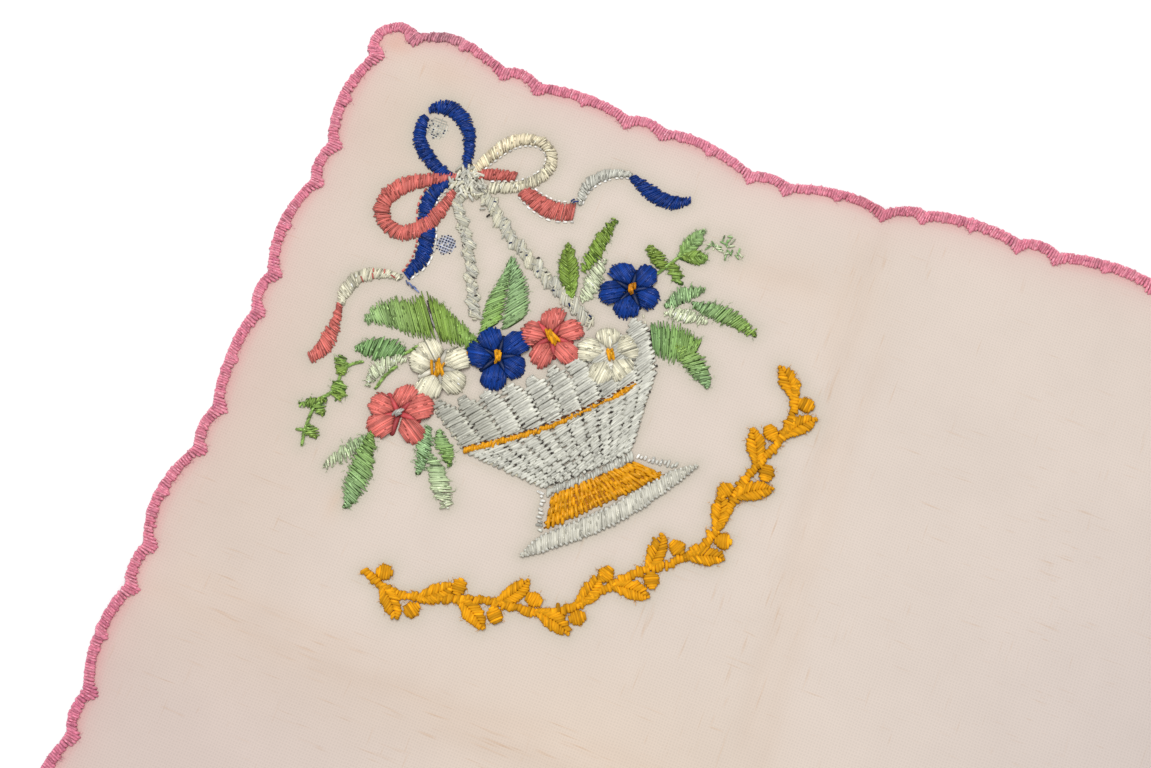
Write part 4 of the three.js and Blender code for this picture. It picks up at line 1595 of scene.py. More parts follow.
@dataclass
class Stitched:
    """A piece of the corner embroidery, worked in floss."""

    name: str
    seed: int
    spread: float = 0.16
    flecks: float = 0.0
    dull: float = 0.60
    finish: Floss = Floss("rayon_embroidery_floss", roughness=0.34, sheen=0.0, gloss=0.2)

    def work(self, hand: Embroiderer) -> None:
        """Sew the piece's stitches."""
        raise NotImplementedError

    def build(self, cloth: Cloth) -> tuple[bpy.types.Object, Array]:
        """Sew the piece onto the cloth.

        Args:
            cloth: The cloth.

        Returns:
            The piece and its needle holes.
        """
        needlework = Needlework(cloth, self.seed, self.spread, self.dull)
        self.work(Embroiderer(needlework, self.flecks))
        return needlework.build(self.name), needlework.pins()

    def dress(self, piece: bpy.types.Object) -> None:
        """Finish the piece in its floss, shared by all that is worked in it."""
        material = bpy.data.materials.get(self.finish.name) or self.finish.material()
        piece.data.materials.append(material)
        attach(piece, BODY)


@dataclass
class Basket(Stitched):
    """A footed basket of upright ribs with a gold band, foot and silver base."""

    rim: tuple[float, float, float] = (16.6, 17.9, 15.5)  # half width, height at its ends and middle
    band: tuple[float, float, float] = (14.6, 9.2, 7.9)
    waist: tuple[float, float, float] = (6.6, 0.2, -0.2)
    upper_ribs: int = 10
    lower_ribs: int = 12
    dull_ribs: int = 2
    shoulders: tuple[float, float] = (0.80, 0.68)  # where a rib's left and right side turn to its tip
    tip_wide: float = 0.22
    tip_lean: float = 0.18
    lean: float = 0.20
    thread: float = 0.45
    seam_off: float = 0.28  # the holes' distance from the seam of two tipped ribs

    @staticmethod
    def on_line(line: tuple[float, float, float], q: float) -> Array:
        """Give the place on one of the basket's cross lines, from -1 at its left end to 1."""
        half, ends, middle = line
        return np.array([half * q, middle + (ends - middle) * q * q])

    def ribs(self, hand: Embroiderer, lower: tuple[float, ...], upper: tuple[float, ...], count: int,
             tipped: bool) -> None:
        """Sew a row of ribs between two cross lines, each from side to side.

        Args:
            hand: The stitches.
            lower: The line that the ribs start from.
            upper: The line that they end at.
            count: How many ribs.
            tipped: True where the ribs end in points.
        """
        for i in range(count):
            left, middle, right = (2 * i / count - 1, (2 * i + 1) / count - 1, (2 * i + 2) / count - 1)
            sides = []
            for q, share in zip((left, right), self.shoulders):
                a, b = self.on_line(lower, q), self.on_line(upper, q)
                tip = self.on_line(upper, middle - self.tip_lean / count + self.tip_wide * (q - middle))
                sides.append(through((a, a + share * (b - a), tip) if tipped else (a, (a + b) / 2, b)))
            dye = Dye.DULL if tipped and i < self.dull_ribs else Dye.SILVER
            section = SATIN if tipped else ROUNDED
            hand.between(*sides, (dye, dye), high=0.40, teeth=0.22, wide=self.thread, section=section,
                         slant=self.lean)
            seam = Route(sides[1])
            for aside in (-self.seam_off, self.seam_off) if tipped else (0.0,):
                stops = hand.stops(seam.long * (0.7 if tipped else 1.0), 1.0 if tipped else 0.62)
                hand.holes(seam.at(stops, aside))

    def work(self, hand: Embroiderer) -> None:
        """Sew the basket from its ribs to its foot."""
        self.ribs(hand, self.band, self.rim, self.upper_ribs, tipped=True)
        self.ribs(hand, self.waist, self.band, self.lower_ribs, tipped=False)
        band = through((
            (-14.8, 9.5, 0.40), (-11.8, 9.0, 0.48), (-8.8, 8.5, 0.42), (-5.4, 8.0, 0.40), (-2.6, 7.8, 0.34),
            (0.6, 7.8, 0.26), (3.6, 7.9, 0.18), (6.0, 8.0, 0.18), (8.2, 8.1, 0.40), (9.6, 8.3, 0.30),
            (11.2, 8.5, 0.14),
        ))
        # a brown line along the band's upper side: painted shadow of the band
        over = Route(band[:, :2] + np.array([0.0, 0.44]))
        hand.stem(over, Dye.BROWN, wide=0.26, high=0.34, lift=0.24, pitch=0.8, stitch=0.7)
        gold = (Dye.GOLD, Dye.GOLD)
        hand.satin(Route(band[:, :2], band[:, 2]), gold, slant=0.6, high=0.34, lift=0.30, ragged=0.10)
        for side in (-1, 1):
            edge = through(((side * 16.7, 17.6), (side * 15.9, 13.6), (side * 14.6, 9.2), (side * 10.6, 4.2),
                            (side * 6.7, 0.1)))
            hand.edging(Route(edge), -side, Dye.CREAM)
        waist = through(((-6.6, -0.5), (0, -0.9), (6.6, -0.6)))
        hand.satin(Route(waist, half=0.6), (Dye.SILVER, Dye.SILVER), slant=0.3, high=0.35)
        self.foot(hand)

    @staticmethod
    def foot(hand: Embroiderer) -> None:
        """Sew the gold foot in rows over a deep gold layer, the pale lines beside it and the silver base with
        its combed sides.
        """
        rows = (((-5.9, -1.2), (6.2, -1.5)), ((-6.9, -2.5), (7.4, -2.7)), ((-7.9, -3.8), (8.6, -3.9)),
                ((-8.8, -5.1), (9.7, -5.0)))
        left, right = through(tuple(row[0] for row in rows)), through(tuple(row[1] for row in rows))
        # the deep gold layer: partly an underlay, partly painted shade between the stitches over it
        hand.between(left, right, (Dye.DEEP_GOLD, Dye.DEEP_GOLD), high=0.06, pitch=0.42, wide=0.56)
        for upper, lower in zip(rows, rows[1:]):
            hand.between(through(upper), through(lower), (Dye.GOLD, Dye.GOLD), high=0.36, teeth=0.30,
                         pitch=0.36, wide=0.52)
        for edge in (((-7.0, 0.0), (-8.2, -2.4), (-9.6, -5.2)), ((6.9, -0.8), (8.9, -2.4), (11.8, -4.5))):
            hand.satin(Route(through(edge), half=0.34), (Dye.WHITE, Dye.SILVER), slant=0.3, high=0.26,
                       pitch=0.58, wide=0.40)
        base = through((
            (-13.4, -7.2, 0.1), (-9.4, -6.9, 1.15), (0.4, -7.1, 1.35), (10.2, -5.8, 1.0), (14.3, -5.5, 0.1),
        ))
        route = Route(base[:, :2], base[:, 2])
        hand.satin(route, (Dye.BASE, Dye.BASE), slant=0.35, high=0.42, ragged=0.10, pitch=0.31)
        for side in (1, -1):
            along = hand.stops(route.long, 0.7)
            rim = side * route.width(along)
            inner = route.at(along - 0.15, (0.66 + hand.jitter(len(along), 0.06)) * rim)
            outer = route.at(along + 0.15, (1.06 + hand.jitter(len(along), 0.06)) * rim)
            colour = shaded(Dye.SILVER, Dye.WHITE, np.full(len(along), 0.2))
            hand.sew(inner, outer, wide=0.36, high=0.12, colour=colour, lift=0.34)


@dataclass
class Handle(Stitched):
    """The basket's tall handle, worked as two twisted silver ropes."""

    limbs: tuple[tuple[tuple[float, float, float], ...], ...] = (
        ((-0.4, 45.6, 1.7), (-1.7, 42.5, 1.9), (-2.2, 38.5, 1.9), (-3.2, 34.5, 1.9), (-4.5, 31.0, 2.0),
         (-5.9, 26.2, 2.1)),
        ((1.6, 45.4, 1.9), (2.8, 42.3, 2.2), (3.5, 36.2, 2.2), (4.8, 31.4, 2.3), (6.2, 27.0, 2.4),
         (8.2, 21.4, 2.3), (9.0, 18.8, 2.0)),
    )
    specks: tuple[Dye, ...] = (Dye.GREY, Dye.NAVY)
    pitch: float = 0.15
    thread: float = 0.25
    twist: float = 1.9  # length of one swell of the rope
    neck: float = 0.66  # width between two swells, as a share of the rope's
    sway: float = 0.16  # how far the swells stand to one side and the other
    slants: tuple[float, float] = (0.85, -0.75)  # how the two ropes are laid
    ragged: float = 0.11
    tones: tuple[float, float] = (0.76, 1.04)  # shares of its colour between two swells and on one: painted shade in the rope's necks
    loose: float = 0.5  # spacing of the loose stitches over it
    hole_every: float = 2.4
    speck_every: float = 3.0

    def work(self, hand: Embroiderer) -> None:
        """Sew slanting stitches that swell and narrow like a rope, then loose ones and dark specks."""
        for limb, speck, slant in zip(self.limbs, self.specks, self.slants):
            line = through(limb)
            route = Route(line[:, :2], line[:, 2] / 2)
            along = hand.stops(route.long, self.pitch)
            swell = np.sin(math.pi * along / self.twist) ** 2
            half = route.width(along) * (self.neck + (1 - self.neck) * swell)
            aside = self.sway * np.sin(math.pi * along / self.twist)
            lean = slant * half
            first = route.at(along + lean, aside + half + hand.jitter(len(along), self.ragged))
            last = route.at(along - lean, aside - half - hand.jitter(len(along), self.ragged))
            colour = shaded(Dye.SILVER, Dye.CREAM, hand.work.rng.uniform(0, 1, len(along)))
            # painted shade in the rope's necks, full colour on its swells
            tone = self.tones[0] + (self.tones[1] - self.tones[0]) * swell
            hand.sew(first, last, self.thread, high=0.30, colour=colour * tone[:, None], section=TUFT)
            along = hand.stops(route.long, self.loose)
            places = route.at(along, hand.jitter(len(along), 0.45))
            ahead = route.at(along + 0.3) - route.at(along - 0.3)
            turns = np.degrees(np.arctan2(*ahead.T[::-1])) + hand.jitter(len(along), 45)
            dyes = (Dye.SILVER, Dye.PEWTER, Dye.CREAM)
            hand.tufts(places, turns, long=0.8, dyes=dyes, wide=0.26, high=0.20, lift=0.24)
            along = hand.stops(route.long, self.hole_every)
            hand.holes(route.at(along, hand.jitter(len(along), 0.6)))
            along = hand.stops(route.long, self.speck_every)
            places = route.at(along, hand.jitter(len(along), 0.7))
            hand.tufts(places, hand.jitter(len(along), 60), long=0.6, dyes=(speck,), wide=0.24, high=0.46)


class Ribbon(NamedTuple):
    """A length of ribbon, with its width at each place on its route."""

    dye: Dye
    lift: float
    slant: float
    route: tuple[tuple[float, float, float], ...]
    edges: tuple[Dye | None, Dye | None] = (None, None)
    fades_to: Dye | None = None


@dataclass
class Bow(Stitched):
    """A ribbon bow in three colours, with waving tails, tied on top of the handle."""

    knot: tuple[float, float] = (0.8, 46.6)
    knot_reach: float = 2.0
    knot_stitches: int = 84
    knot_turns: tuple[float, float] = (35, -65)  # its two halves' main directions, in degrees
    knot_drop: tuple[float, float] = (0.7, -1.4)  # how far its second half lies towards the handle
    pitch: float = 0.22
    thread: float = 0.28
    ribbons: tuple[Ribbon, ...] = (
        Ribbon(Dye.BLUE, 0.0, 0.3, (
            (-1.2, 47.0, 1.3), (-4.2, 46.3, 2.1), (-6.2, 44.0, 2.3), (-7.3, 40.8, 2.4), (-9.5, 37.8, 2.3),
            (-12.5, 36.3, 1.3),
        ), (Dye.WHITE, Dye.CORAL)),
        Ribbon(Dye.CREAM, 0.0, 0.4, (
            (-13.0, 36.3, 0.9), (-15.8, 38.2, 1.6), (-19.0, 38.9, 2.1), (-21.6, 37.5, 1.8),
            (-22.6, 36.2, 0.9),
        )),
        Ribbon(Dye.CORAL, 0.0, 0.4, (
            (-22.4, 36.7, 0.6), (-24.3, 33.9, 1.6), (-26.6, 31.6, 2.5), (-29.7, 30.5, 1.6),
        )),
        Ribbon(Dye.CORAL, 0.0, 0.3, ((2.4, 46.6, 1.4), (5.2, 45.4, 1.9), (8.0, 43.7, 1.4))),
        Ribbon(Dye.CORAL, 0.0, 0.2, (
            (8.0, 41.5, 2.1), (9.3, 38.8, 2.7), (10.9, 36.8, 2.9), (13.6, 35.4, 2.7),
        ), (Dye.WHITE, Dye.WHITE)),
        Ribbon(Dye.SILVER, 0.0, 0.5, (
            (14.5, 36.2, 0.7), (16.5, 38.3, 1.5), (19.3, 38.9, 1.6), (21.8, 38.3, 1.2), (23.4, 37.2, 0.7),
        ), (None, Dye.WHITE)),
        Ribbon(Dye.BLUE, 0.0, 0.5, (
            (23.4, 37.2, 1.1), (24.5, 34.5, 2.1), (26.0, 31.9, 2.4), (27.8, 30.6, 1.9), (29.7, 30.3, 0.9),
        )),
        Ribbon(Dye.BLUE, 0.1, 0.2, (
            (-0.7, 47.4, 1.3), (-1.8, 49.0, 1.9), (-2.5, 51.1, 2.15), (-2.8, 53.2, 2.15), (-2.6, 55.2, 2.0),
            (-1.6, 56.8, 1.8), (-0.4, 57.7, 1.2),
        )),
        Ribbon(Dye.BLUE, 0.1, 0.2, (
            (0.3, 58.5, 1.1), (2.4, 58.2, 2.3), (3.8, 56.5, 2.5), (4.35, 53.8, 2.1), (3.5, 50.7, 1.6),
            (1.5, 47.6, 1.0),
        )),
        Ribbon(Dye.CORAL, 0.15, 0.25, (
            (0.0, 47.2, 1.0), (-3.4, 48.3, 1.9), (-7.7, 49.2, 2.6), (-11.2, 48.0, 2.5), (-12.2, 45.2, 2.2),
            (-10.6, 42.6, 2.3), (-7.4, 42.2, 2.5), (-4.4, 43.3, 2.1), (-1.2, 45.3, 1.2),
        )),
        Ribbon(Dye.IVORY, 0.15, 0.35, (
            (1.8, 46.6, 1.2), (5.6, 48.2, 1.8), (9.8, 49.0, 2.0), (13.0, 47.6, 1.6), (14.1, 45.0, 1.6),
            (12.2, 42.6, 1.6), (8.2, 42.1, 1.7), (3.6, 43.8, 1.7),
        ), (None, Dye.WHITE), Dye.CREAM),
    )

    def work(self, hand: Embroiderer) -> None:
        """Sew the ribbons, those behind first, then the knot and the stray threads."""
        for ribbon in self.ribbons:
            line = through(ribbon.route)
            route = Route(line[:, :2], line[:, 2] / 2)
            dyes = (ribbon.dye, ribbon.fades_to or ribbon.dye)
            hand.satin(route, dyes, ribbon.slant, 0.38, ribbon.lift, self.pitch, self.thread, ragged=0.11)
            for side, edge in zip((1, -1), ribbon.edges):
                if edge:
                    hand.edging(route, side, edge)
        self.tie(hand)
        hand.net((-5.4, 38.4), radius=1.6, share=0.95, yarn=Dye.FAINT_BLUE)
        hand.net((0.3, 55.4), radius=1.8, share=0.32, yarn=Dye.SILVER)
        for dye, places, turn in (
            (Dye.CORAL, ((-16.8, 38.2), (-16.4, 38.9), (-15.0, 38.1), (-14.2, 36.9), (-18.4, 38.4)), 100),
            (Dye.BLUE, ((14.0, 37.1), (14.3, 36.7)), 20),
            (Dye.PALE_BLUE, ((-12.7, 35.3), (-12.4, 34.9), (-12.3, 34.5), (-12.0, 34.2), (-11.9, 33.7)), 115),
        ):
            turns = turn + hand.jitter(len(places), 22)
            hand.tufts(np.array(places), turns, long=0.9, dyes=(dye,), wide=0.22, high=0.2, lift=0.36)

    def tie(self, hand: Embroiderer) -> None:
        """Sew the knot: pale tufts in two directions, half of them towards the handle, and painted shadow in
        the gaps.
        """
        count = self.knot_stitches
        first = np.arange(count) < count // 2
        turns = np.where(first, *self.knot_turns) + hand.jitter(count, 28)
        far = self.knot_reach * np.sqrt(hand.work.rng.uniform(0, 1, count))
        round_it = direction(hand.work.rng.uniform(0, 2 * math.pi, count))
        places = np.array(self.knot) + far[:, None] * round_it
        places[~first] += np.array(self.knot_drop)
        dyes = (Dye.CREAM, Dye.SILVER, Dye.PEWTER)
        hand.tufts(places, turns, long=1.4, dyes=dyes, wide=0.40, high=0.42, lift=0.2)
        # painted shadow between the knot's tufts
        dark = (Dye.SHADOW,)
        hand.tufts(places[::7] + 0.2, turns[::7], long=0.6, dyes=dark, wide=0.22, high=0.50, lift=0.2)


@dataclass
class Flowers(Stitched):
    """Six small flowers, their petals worked in satin stitch from the middle outwards."""

    beds: tuple[Flower, ...] = (
        Flower(-21.0, 18.1, 4.9, 20, Dye.CORAL, Dye.DEEP_CORAL, Dye.GREY, 30, 0.7),
        Flower(-13.5, 21.9, 4.6, 43, Dye.CREAM, Dye.PEWTER, Dye.GOLD, 60, 1.6),
        Flower(-5.1, 20.0, 4.8, 51, Dye.BLUE, Dye.NAVY, Dye.GOLD, 50, 0.9),
        Flower(3.0, 19.5, 4.7, 36, Dye.CORAL, Dye.DEEP_CORAL, Dye.GOLD, 100, 1.5),
        Flower(9.5, 13.9, 4.3, 34, Dye.CREAM, Dye.PEWTER, Dye.GOLD, 70, 1.1),
        Flower(16.3, 21.4, 4.6, 54, Dye.BLUE, Dye.NAVY, Dye.DEEP_GOLD, 60, 0.6),
    )
    knot: tuple[tuple[float, float], ...] = ((-9.3, 22.6), (-9.0, 22.2), (-9.1, 21.8))
    petals: int = 5
    petal_half: float = 1.78
    inner: float = 0.65
    pitch: float = 0.21
    thread: float = 0.27
    eye_stitches: int = 7
    reach_loss: float = 0.23  # how much shorter a petal is at its sides
    tones: tuple[float, float] = (1.10, 0.78)  # painted highlight in its middle and painted shade at its sides, as shares of its colour
    gap_share: float = 0.68  # how far out the painted shadow between petals runs
    lift: float = 0.22  # they lie over the leaves and the basket's ribs

    def work(self, hand: Embroiderer) -> None:
        """Sew each flower: petals with painted shadow between them, then the eye."""
        for flower in self.beds:
            for petal in range(self.petals):
                middle = flower.turn + 360 * (petal + 0.5) / self.petals + float(hand.jitter(1, 4)[0])
                self.petal(hand, flower, middle)
            places = np.array([flower.s, flower.t]) + hand.work.rng.normal(0, 0.30, (self.eye_stitches, 2))
            turns = flower.eye_turn + hand.jitter(self.eye_stitches, 16)
            long = 1.6 * flower.eye_long
            hand.tufts(places, turns, long, (flower.eye,), wide=0.42, high=0.28, lift=0.3 + self.lift)
        knot = np.array(self.knot)
        turns = 40 + hand.jitter(len(knot), 20)
        hand.tufts(knot, turns, long=0.9, dyes=(Dye.DEEP_GOLD, Dye.GOLD), wide=0.4, high=0.3)

    def petal(self, hand: Embroiderer, flower: Flower, middle: float) -> None:
        """Sew one petal in parallel stitches, and a dark stitch of painted shadow between it and the next
        petal.

        Args:
            hand: The stitches.
            flower: The flower.
            middle: The petal's direction, in degrees.
        """
        wide, full, skew = 1 + hand.jitter(3, 0.07)
        wide = wide * self.petal_half
        off = hand.stops(2 * wide, self.pitch) - wide
        way = direction(math.radians(middle))
        aside = left_of(way)
        share = off / wide
        root = self.inner + 0.8 * np.abs(off)
        loss = self.reach_loss * np.abs(share) ** 2.6
        reach = full * flower.radius * (1 - loss) + hand.jitter(len(off), 0.12)
        centre = np.array([flower.s, flower.t])
        start = centre + root[:, None] * way + (0.86 * off)[:, None] * aside
        end = centre + reach[:, None] * way + (off + 1.2 * (skew - 1) * reach)[:, None] * aside
        # painted light: each petal lighter in its middle, darker at its sides
        tone = self.tones[0] - (self.tones[0] - self.tones[1]) * share ** 2
        colour = flower.petal.light * tone[:, None]
        hand.sew(start, end, self.thread, high=0.46, colour=colour, lift=self.lift, section=PETAL)
        # painted shadow between this petal and the next
        line = direction(np.radians([middle + 180 / self.petals]))
        near, far = centre + 0.1 * line, centre + self.gap_share * flower.radius * line
        hand.sew(near, far, wide=0.85, high=0.05, colour=flower.gap.light)


@dataclass
class Leaves(Stitched):
    """Leaves and sprigs round the basket, in many greens."""

    sprays: tuple[Leaf, ...] = (
        Leaf(-17.0, 25.8, -23.1, 29.3, 3.2, -0.4, Dye.LEAF, Dye.LEAF),
        Leaf(-17.1, 24.8, -23.7, 23.6, 2.1, -1.3, Dye.PALE, Dye.PALE),
        Leaf(-25.3, 29.2, -26.5, 26.4, 1.8, 0.0, Dye.GRASS, Dye.OLIVE),
        Leaf(-27.0, 25.9, -28.2, 23.2, 2.2, 0.0, Dye.GRASS, Dye.OLIVE),
        Leaf(-29.6, 23.9, -33.4, 25.1, 1.1, 0.0, Dye.OLIVE, Dye.GRASS),
        Leaf(-31.1, 24.4, -30.9, 22.0, 1.5, 0.0, Dye.GRASS, Dye.OLIVE),
        Leaf(-33.4, 21.9, -33.2, 19.4, 1.4, 0.0, Dye.GRASS, Dye.OLIVE),
        Leaf(-26.4, 17.0, -33.6, 15.6, 1.9, 0.3, Dye.MINT, Dye.PALE),
        Leaf(-33.0, 8.7, -25.4, 17.3, 3.3, -0.3, Dye.SEA, Dye.GRASS),
        Leaf(-17.9, 14.8, -21.9, 9.0, 2.0, 0.0, Dye.SEA, Dye.SEA),
        Leaf(-16.9, 13.7, -17.3, 8.2, 2.0, 0.0, Dye.MINT, Dye.GRASS),
        Leaf(-20.1, 2.9, -19.0, 11.3, 2.6, 0.0, Dye.PALE, Dye.MINT),
        Leaf(7.9, 23.5, 10.8, 31.5, 2.7, 0.2, Dye.FRESH, Dye.OLIVE, Fill.FISHBONE),
        Leaf(10.9, 26.8, 18.5, 32.0, 2.2, 0.0, Dye.FRESH, Dye.OLIVE),
        Leaf(8.9, 22.6, 14.8, 27.1, 2.3, 0.0, Dye.PALE, Dye.PALE),
        Leaf(21.8, 22.4, 21.4, 26.5, 2.1, 0.0, Dye.OLIVE, Dye.OLIVE),
        Leaf(23.2, 22.7, 22.8, 19.3, 1.8, 0.0, Dye.OLIVE, Dye.GRASS),
        Leaf(24.4, 23.1, 29.6, 25.4, 2.1, 0.0, Dye.GRASS, Dye.MINT, Fill.FISHBONE),
        Leaf(24.7, 23.2, 28.2, 21.4, 2.1, 0.0, Dye.OLIVE, Dye.GRASS, Fill.FISHBONE),
        Leaf(19.6, 17.2, 25.9, 17.1, 2.1, 0.6, Dye.SEA, Dye.MINT),
        Leaf(23.3, 16.0, 29.6, 8.0, 2.5, 0.7, Dye.SEA, Dye.FRESH),
        Leaf(19.1, 16.5, 24.3, 12.8, 1.9, 0.2, Dye.PALE, Dye.PALE),
        Leaf(18.6, 11.6, 20.2, 3.9, 2.9, 0.6, Dye.FRESH, Dye.SEA),
    )
    patches: tuple[Patch, ...] = (
        Patch(Dye.MINT, Dye.FRESH,
              ((-20.3, 32.9), (-18.0, 34.1), (-15.4, 34.0), (-13.2, 32.8), (-11.3, 32.9)),
              ((-20.4, 32.3), (-18.2, 31.0), (-16.2, 29.0), (-14.0, 27.1), (-12.1, 26.1))),
        Patch(Dye.FRESH, Dye.GRASS, ((-10.8, 32.6), (-9.6, 30.7), (-8.7, 28.6), (-7.7, 26.0), (-6.7, 23.4)),
              ((-11.7, 25.8), (-10.4, 24.8), (-9.3, 24.0), (-8.3, 23.3), (-7.1, 22.8))),
        Patch(Dye.SEA, Dye.GRASS, ((2.1, 32.3), (-0.8, 30.1), (-3.6, 27.8), (-6.2, 24.2)),
              ((2.5, 32.9), (1.2, 30.4), (-0.3, 28.2), (-2.6, 24.8))),
        Patch(Dye.SEA, Dye.MINT, ((2.3, 32.2), (0.8, 29.3), (-1.2, 26.4), (-3.2, 23.2)),
              ((2.6, 32.8), (2.8, 30.3), (2.7, 27.6), (1.2, 24.0))),
        Patch(Dye.LEAF, Dye.GRASS, ((16.6, 15.8), (19.8, 14.2), (22.4, 10.6)),
              ((15.4, 11.8), (17.4, 9.6), (20.4, 9.2))),
    )
    stems: tuple[tuple[tuple[float, float], ...], ...] = (
        ((-14.1, 26.1), (-15.8, 25.9), (-17.4, 25.7)),
        ((-18.6, 24.6), (-20.8, 23.9), (-22.8, 22.6)),
        ((-22.7, 27.1), (-24.9, 27.4), (-26.3, 26.8), (-27.9, 24.9), (-31.0, 24.2), (-34.0, 21.2),
         (-35.2, 19.2)),
        ((-33.7, 21.1), (-34.5, 21.5), (-35.2, 21.8)),
        ((20.0, 22.0), (22.4, 22.6), (24.6, 23.2)),
    )
    under: float = 0.72  # share of a leaf that has dark thread below: an underlay that shows as painted shade between the stitches
    pitch: float = 0.20
    thread: float = 0.24
    under_pitch: float = 0.48
    under_thread: float = 0.62
    fibres: int = 1100
    fibre_long: float = 0.5
    seam: tuple[tuple[float, float], ...] = ((-11.1, 31.2), (-11.3, 30.2), (-11.5, 29.2), (-11.6, 28.3))
    wisps: tuple[tuple[float, float], ...] = (
        (28.9, 22.9), (29.8, 22.6), (30.6, 22.3), (31.4, 22.5), (32.2, 22.4), (30.6, 21.4), (31.0, 20.7),
        (31.9, 21.0), (32.6, 20.1),
    )

    def work(self, hand: Embroiderer) -> None:
        """Sew the stems first, then each leaf in its own greens."""
        for stem in self.stems:
            hand.stem(Route(through(stem)), Dye.GRASS, wide=0.36, high=0.25, pitch=0.5)
        wisps = np.array(self.wisps)
        for turn in (20, 75, 130):
            places = wisps + hand.work.rng.normal(0, 0.25, wisps.shape)
            turns = turn + hand.jitter(len(wisps), 25)
            hand.tufts(places, turns, long=1.1, dyes=(Dye.MINT, Dye.PALE, Dye.LEAF), wide=0.24, high=0.22)
        below = {"high": 0.05, "pitch": self.under_pitch, "wide": self.under_thread}
        over = {"pitch": self.pitch, "wide": self.thread}
        # dark underlay: partly real, partly painted shade between the stitches over it
        moss = (Dye.MOSS, Dye.MOSS)
        for patch in self.patches:
            one, other = through(patch.one), through(patch.other)
            middle = (one + other) / 2
            under = (middle + self.under * (side - middle) for side in (one, other))
            hand.between(*under, moss, **below)
            hand.between(one, other, (patch.base, patch.tip), high=0.38, teeth=0.28, **over)
        # grey and dark tufts along the seam of two patches: painted shadow in the seam
        seam = np.array(self.seam)
        turns = 85 + hand.jitter(len(seam), 12)
        hand.tufts(seam, turns, long=1.3, dyes=(Dye.GREY, Dye.SHADOW), wide=0.24, high=0.42)
        for leaf in self.sprays:
            route = leaf_route(leaf)
            high = 0.28 + 0.05 * leaf.wide
            if Dye.PALE not in (leaf.base, leaf.tip):
                under = Route(route.line, self.under * route.half)
                hand.satin(under, moss, slant=0.2, **below)
            if leaf.fill is Fill.FISHBONE:
                hand.fishbone(route, (leaf.base, leaf.tip), slant=1.0, high=high, **over)
            else:
                hand.satin(route, (leaf.base, leaf.tip), slant=0.35, high=high, ragged=0.20, **over)
        hand.work.fray(hand.work.pins(), self.fibres, self.fibre_long, Dye.MINT.light)


@dataclass
class Spray(Stitched):
    """A leafy spray with berries in an arc below the basket, in golden thread."""

    finish: Floss = Floss("golden_cotton_thread", roughness=0.75, sheen=0.0, gloss=0.15)
    centre: tuple[float, float] = (-1.0, 24.4)
    radius: float = 41.0
    begins: float = 217.0
    ends: float = 323.0
    wave: float = 0.9
    waves: float = 3.5
    stem_wide: float = 1.3
    twigs: int = 14
    leaf_long: float = 5.6
    leaf_wide: float = 2.5
    lean: float = 38.0
    bow: float = 0.4
    berry: float = 1.15
    berry_off: float = 1.65
    fibres: int = 1500
    fibre_long: float = 0.4

    def at(self, q: Array | float, off: Array | float) -> Array:
        """Give places on the arc at shares of its length, moved outwards from its middle."""
        turn = np.radians(self.begins + (self.ends - self.begins) * np.asarray(q, dtype=float))
        return np.array(self.centre) + np.asarray(self.radius + off)[..., None] * direction(turn)

    def sway(self, q: Array | float) -> Array | float:
        """Give how far the stem sways from the arc."""
        return self.wave * np.sin(2 * math.pi * self.waves * q)

    def work(self, hand: Embroiderer) -> None:
        """Sew the stem, then a leaf and a berry by turns on either side."""
        q = np.linspace(0, 1, 160)
        stem = Route(self.at(q, self.sway(q)), self.stem_wide / 2)
        gold = (Dye.GOLD, Dye.GOLD)
        hand.satin(stem, gold, slant=0.2, high=0.36, ragged=0.16, pitch=0.45, wide=0.56)
        for twig in range(self.twigs):
            share = (twig + 0.5) / self.twigs
            side = 1 if twig % 2 == 0 else -1
            root = self.at(share, self.sway(share))
            along = math.radians(self.begins + (self.ends - self.begins) * share + 90)
            tip = root + self.leaf_long * direction(along - side * math.radians(self.lean))
            leaf = Leaf(*root, *tip, self.leaf_wide, side * self.bow, *gold)
            hand.fishbone(leaf_route(leaf), gold, slant=0.8, high=0.36, lift=0.04)
            berry = self.at(share, self.sway(share) - side * self.berry_off)
            hand.dot(berry, self.berry, turn=60 + 40 * twig, dye=Dye.GOLD, high=0.4, lift=0.05)
        hand.work.fray(hand.work.pins(), self.fibres, self.fibre_long, Dye.GOLD.light)


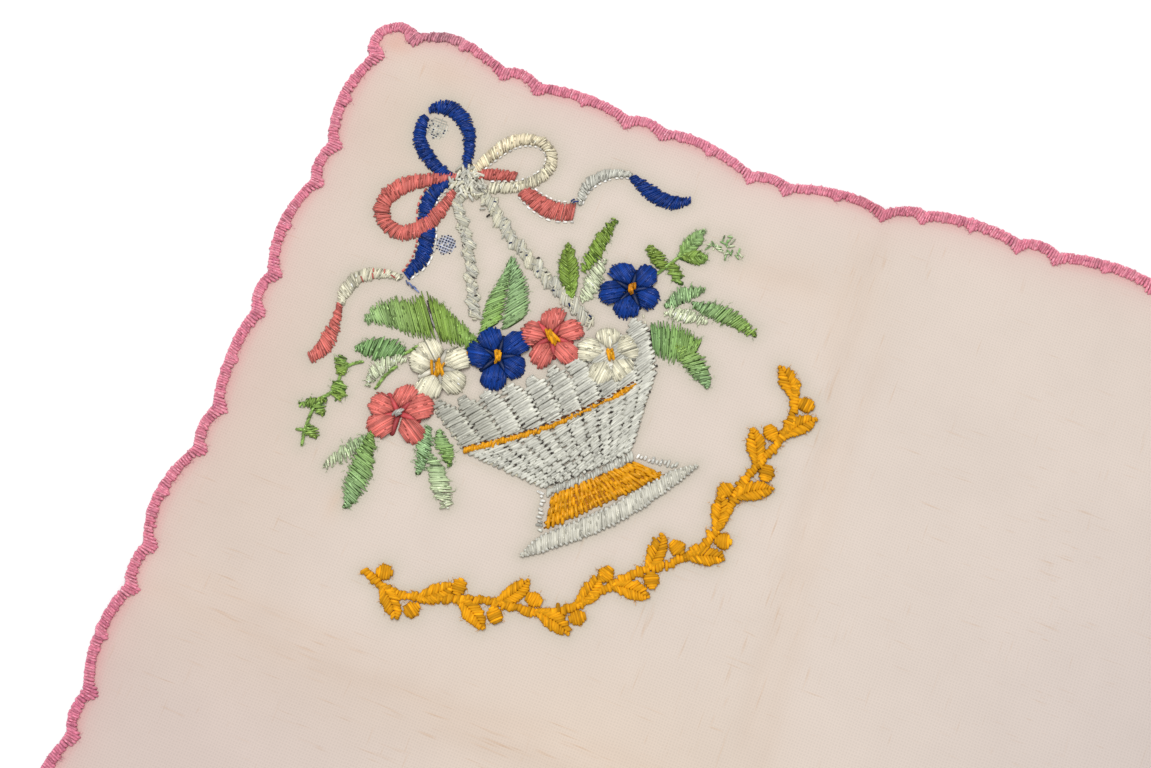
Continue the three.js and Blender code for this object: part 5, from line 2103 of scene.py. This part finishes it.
@dataclass
class Studio:
    """The white floor, the soft light and the camera that looks down at the corner."""

    floor_size: float = 6000.0
    aim: tuple[float, float, float] = (-74.63, 87.66, 0.0)
    azimuth: float = 21.285
    elevation: float = 76.92
    distance: float = 225.73
    lens: float = 50.0
    sensor: float = 36.0
    nearest: float = 10.0
    sky: float = 0.62
    key_power: float = 3.75
    key_size: float = 500.0
    key_at: tuple[float, float, float] = (-190.0, 243.0, 720.0)

    def floor(self) -> None:
        """Lay the paper that the cloth lies on."""
        bpy.ops.object.select_all(action="DESELECT")
        bpy.ops.mesh.primitive_plane_add(size=self.floor_size * MM)
        floor = bpy.context.object
        floor.name = "studio_floor"
        floor.data.materials.append(StudioPaper().material())

    def light(self) -> None:
        """Set an even sky and one large soft lamp from the upper left."""
        world = bpy.data.worlds.new("studio_sky")
        world.use_nodes = True
        sky = world.node_tree.nodes["Background"]
        sky.inputs["Color"].default_value = (1.0, 1.0, 1.0, 1.0)
        sky.inputs["Strength"].default_value = self.sky
        bpy.context.scene.world = world
        lamp = bpy.data.lights.new("soft_box", "AREA")
        lamp.size = self.key_size * MM
        lamp.energy = self.key_power
        key = bpy.data.objects.new("soft_box", lamp)
        key.location = Vector(self.key_at) * MM
        key.rotation_euler = (Vector(self.aim) * MM - key.location).to_track_quat("-Z", "Y").to_euler()
        bpy.context.scene.collection.objects.link(key)

    def camera(self) -> None:
        """Place the camera at the photograph's viewing angle."""
        turn, tilt = math.radians(self.azimuth), math.radians(self.elevation)
        ahead = Vector((-math.sin(turn) * math.cos(tilt), math.cos(turn) * math.cos(tilt), -math.sin(tilt)))
        right = Vector((math.cos(turn), math.sin(turn), 0))
        place = Matrix((right, right.cross(ahead), -ahead)).transposed().to_4x4()
        place.translation = (Vector(self.aim) - ahead * self.distance) * MM
        lens = bpy.data.cameras.new("camera")
        lens.lens = self.lens
        lens.sensor_width = self.sensor
        lens.clip_start = self.nearest * MM
        camera = bpy.data.objects.new("camera", lens)
        camera.matrix_world = place
        bpy.context.scene.collection.objects.link(camera)
        bpy.context.scene.camera = camera

    def build(self) -> None:
        """Set up the whole studio, with colours shown as they are."""
        bpy.context.scene.view_settings.view_transform = "Standard"
        self.floor()
        self.light()
        self.camera()


def main() -> None:
    """Build the handkerchief from its stitches to its cloth, then the studio round it."""
    logging.basicConfig(level=logging.INFO, format="%(message)s")
    cloth = Cloth()
    pieces, pins = [], []
    parts = (
        WhippedEdge(),
        Leaves("leaves", 11, spread=0.22, flecks=1.0),
        Basket("flower_basket", 12, spread=0.10, flecks=0.8, dull=0.74),
        Handle("rope_handle", 13, spread=0.10),
        Flowers("flowers", 14, spread=0.20, flecks=0.6, dull=0.78),
        Bow("ribbon_bow", 15, spread=0.20, flecks=0.7),
        Spray("golden_spray", 16),
    )
    for part in parts:
        piece, holes = part.build(cloth)
        part.dress(piece)
        pieces.append(piece)
        if not isinstance(part, WhippedEdge):
            pins.append(holes)
        LOG.info("%s: %d triangles", piece.name, triangles(piece))
    sheet = cloth.build(np.concatenate(pins))
    cloth.dress(sheet, pieces)
    LOG.info("%s: %d triangles", sheet.name, triangles(sheet))
    Studio().build()


if __name__ == "__main__":
    main()
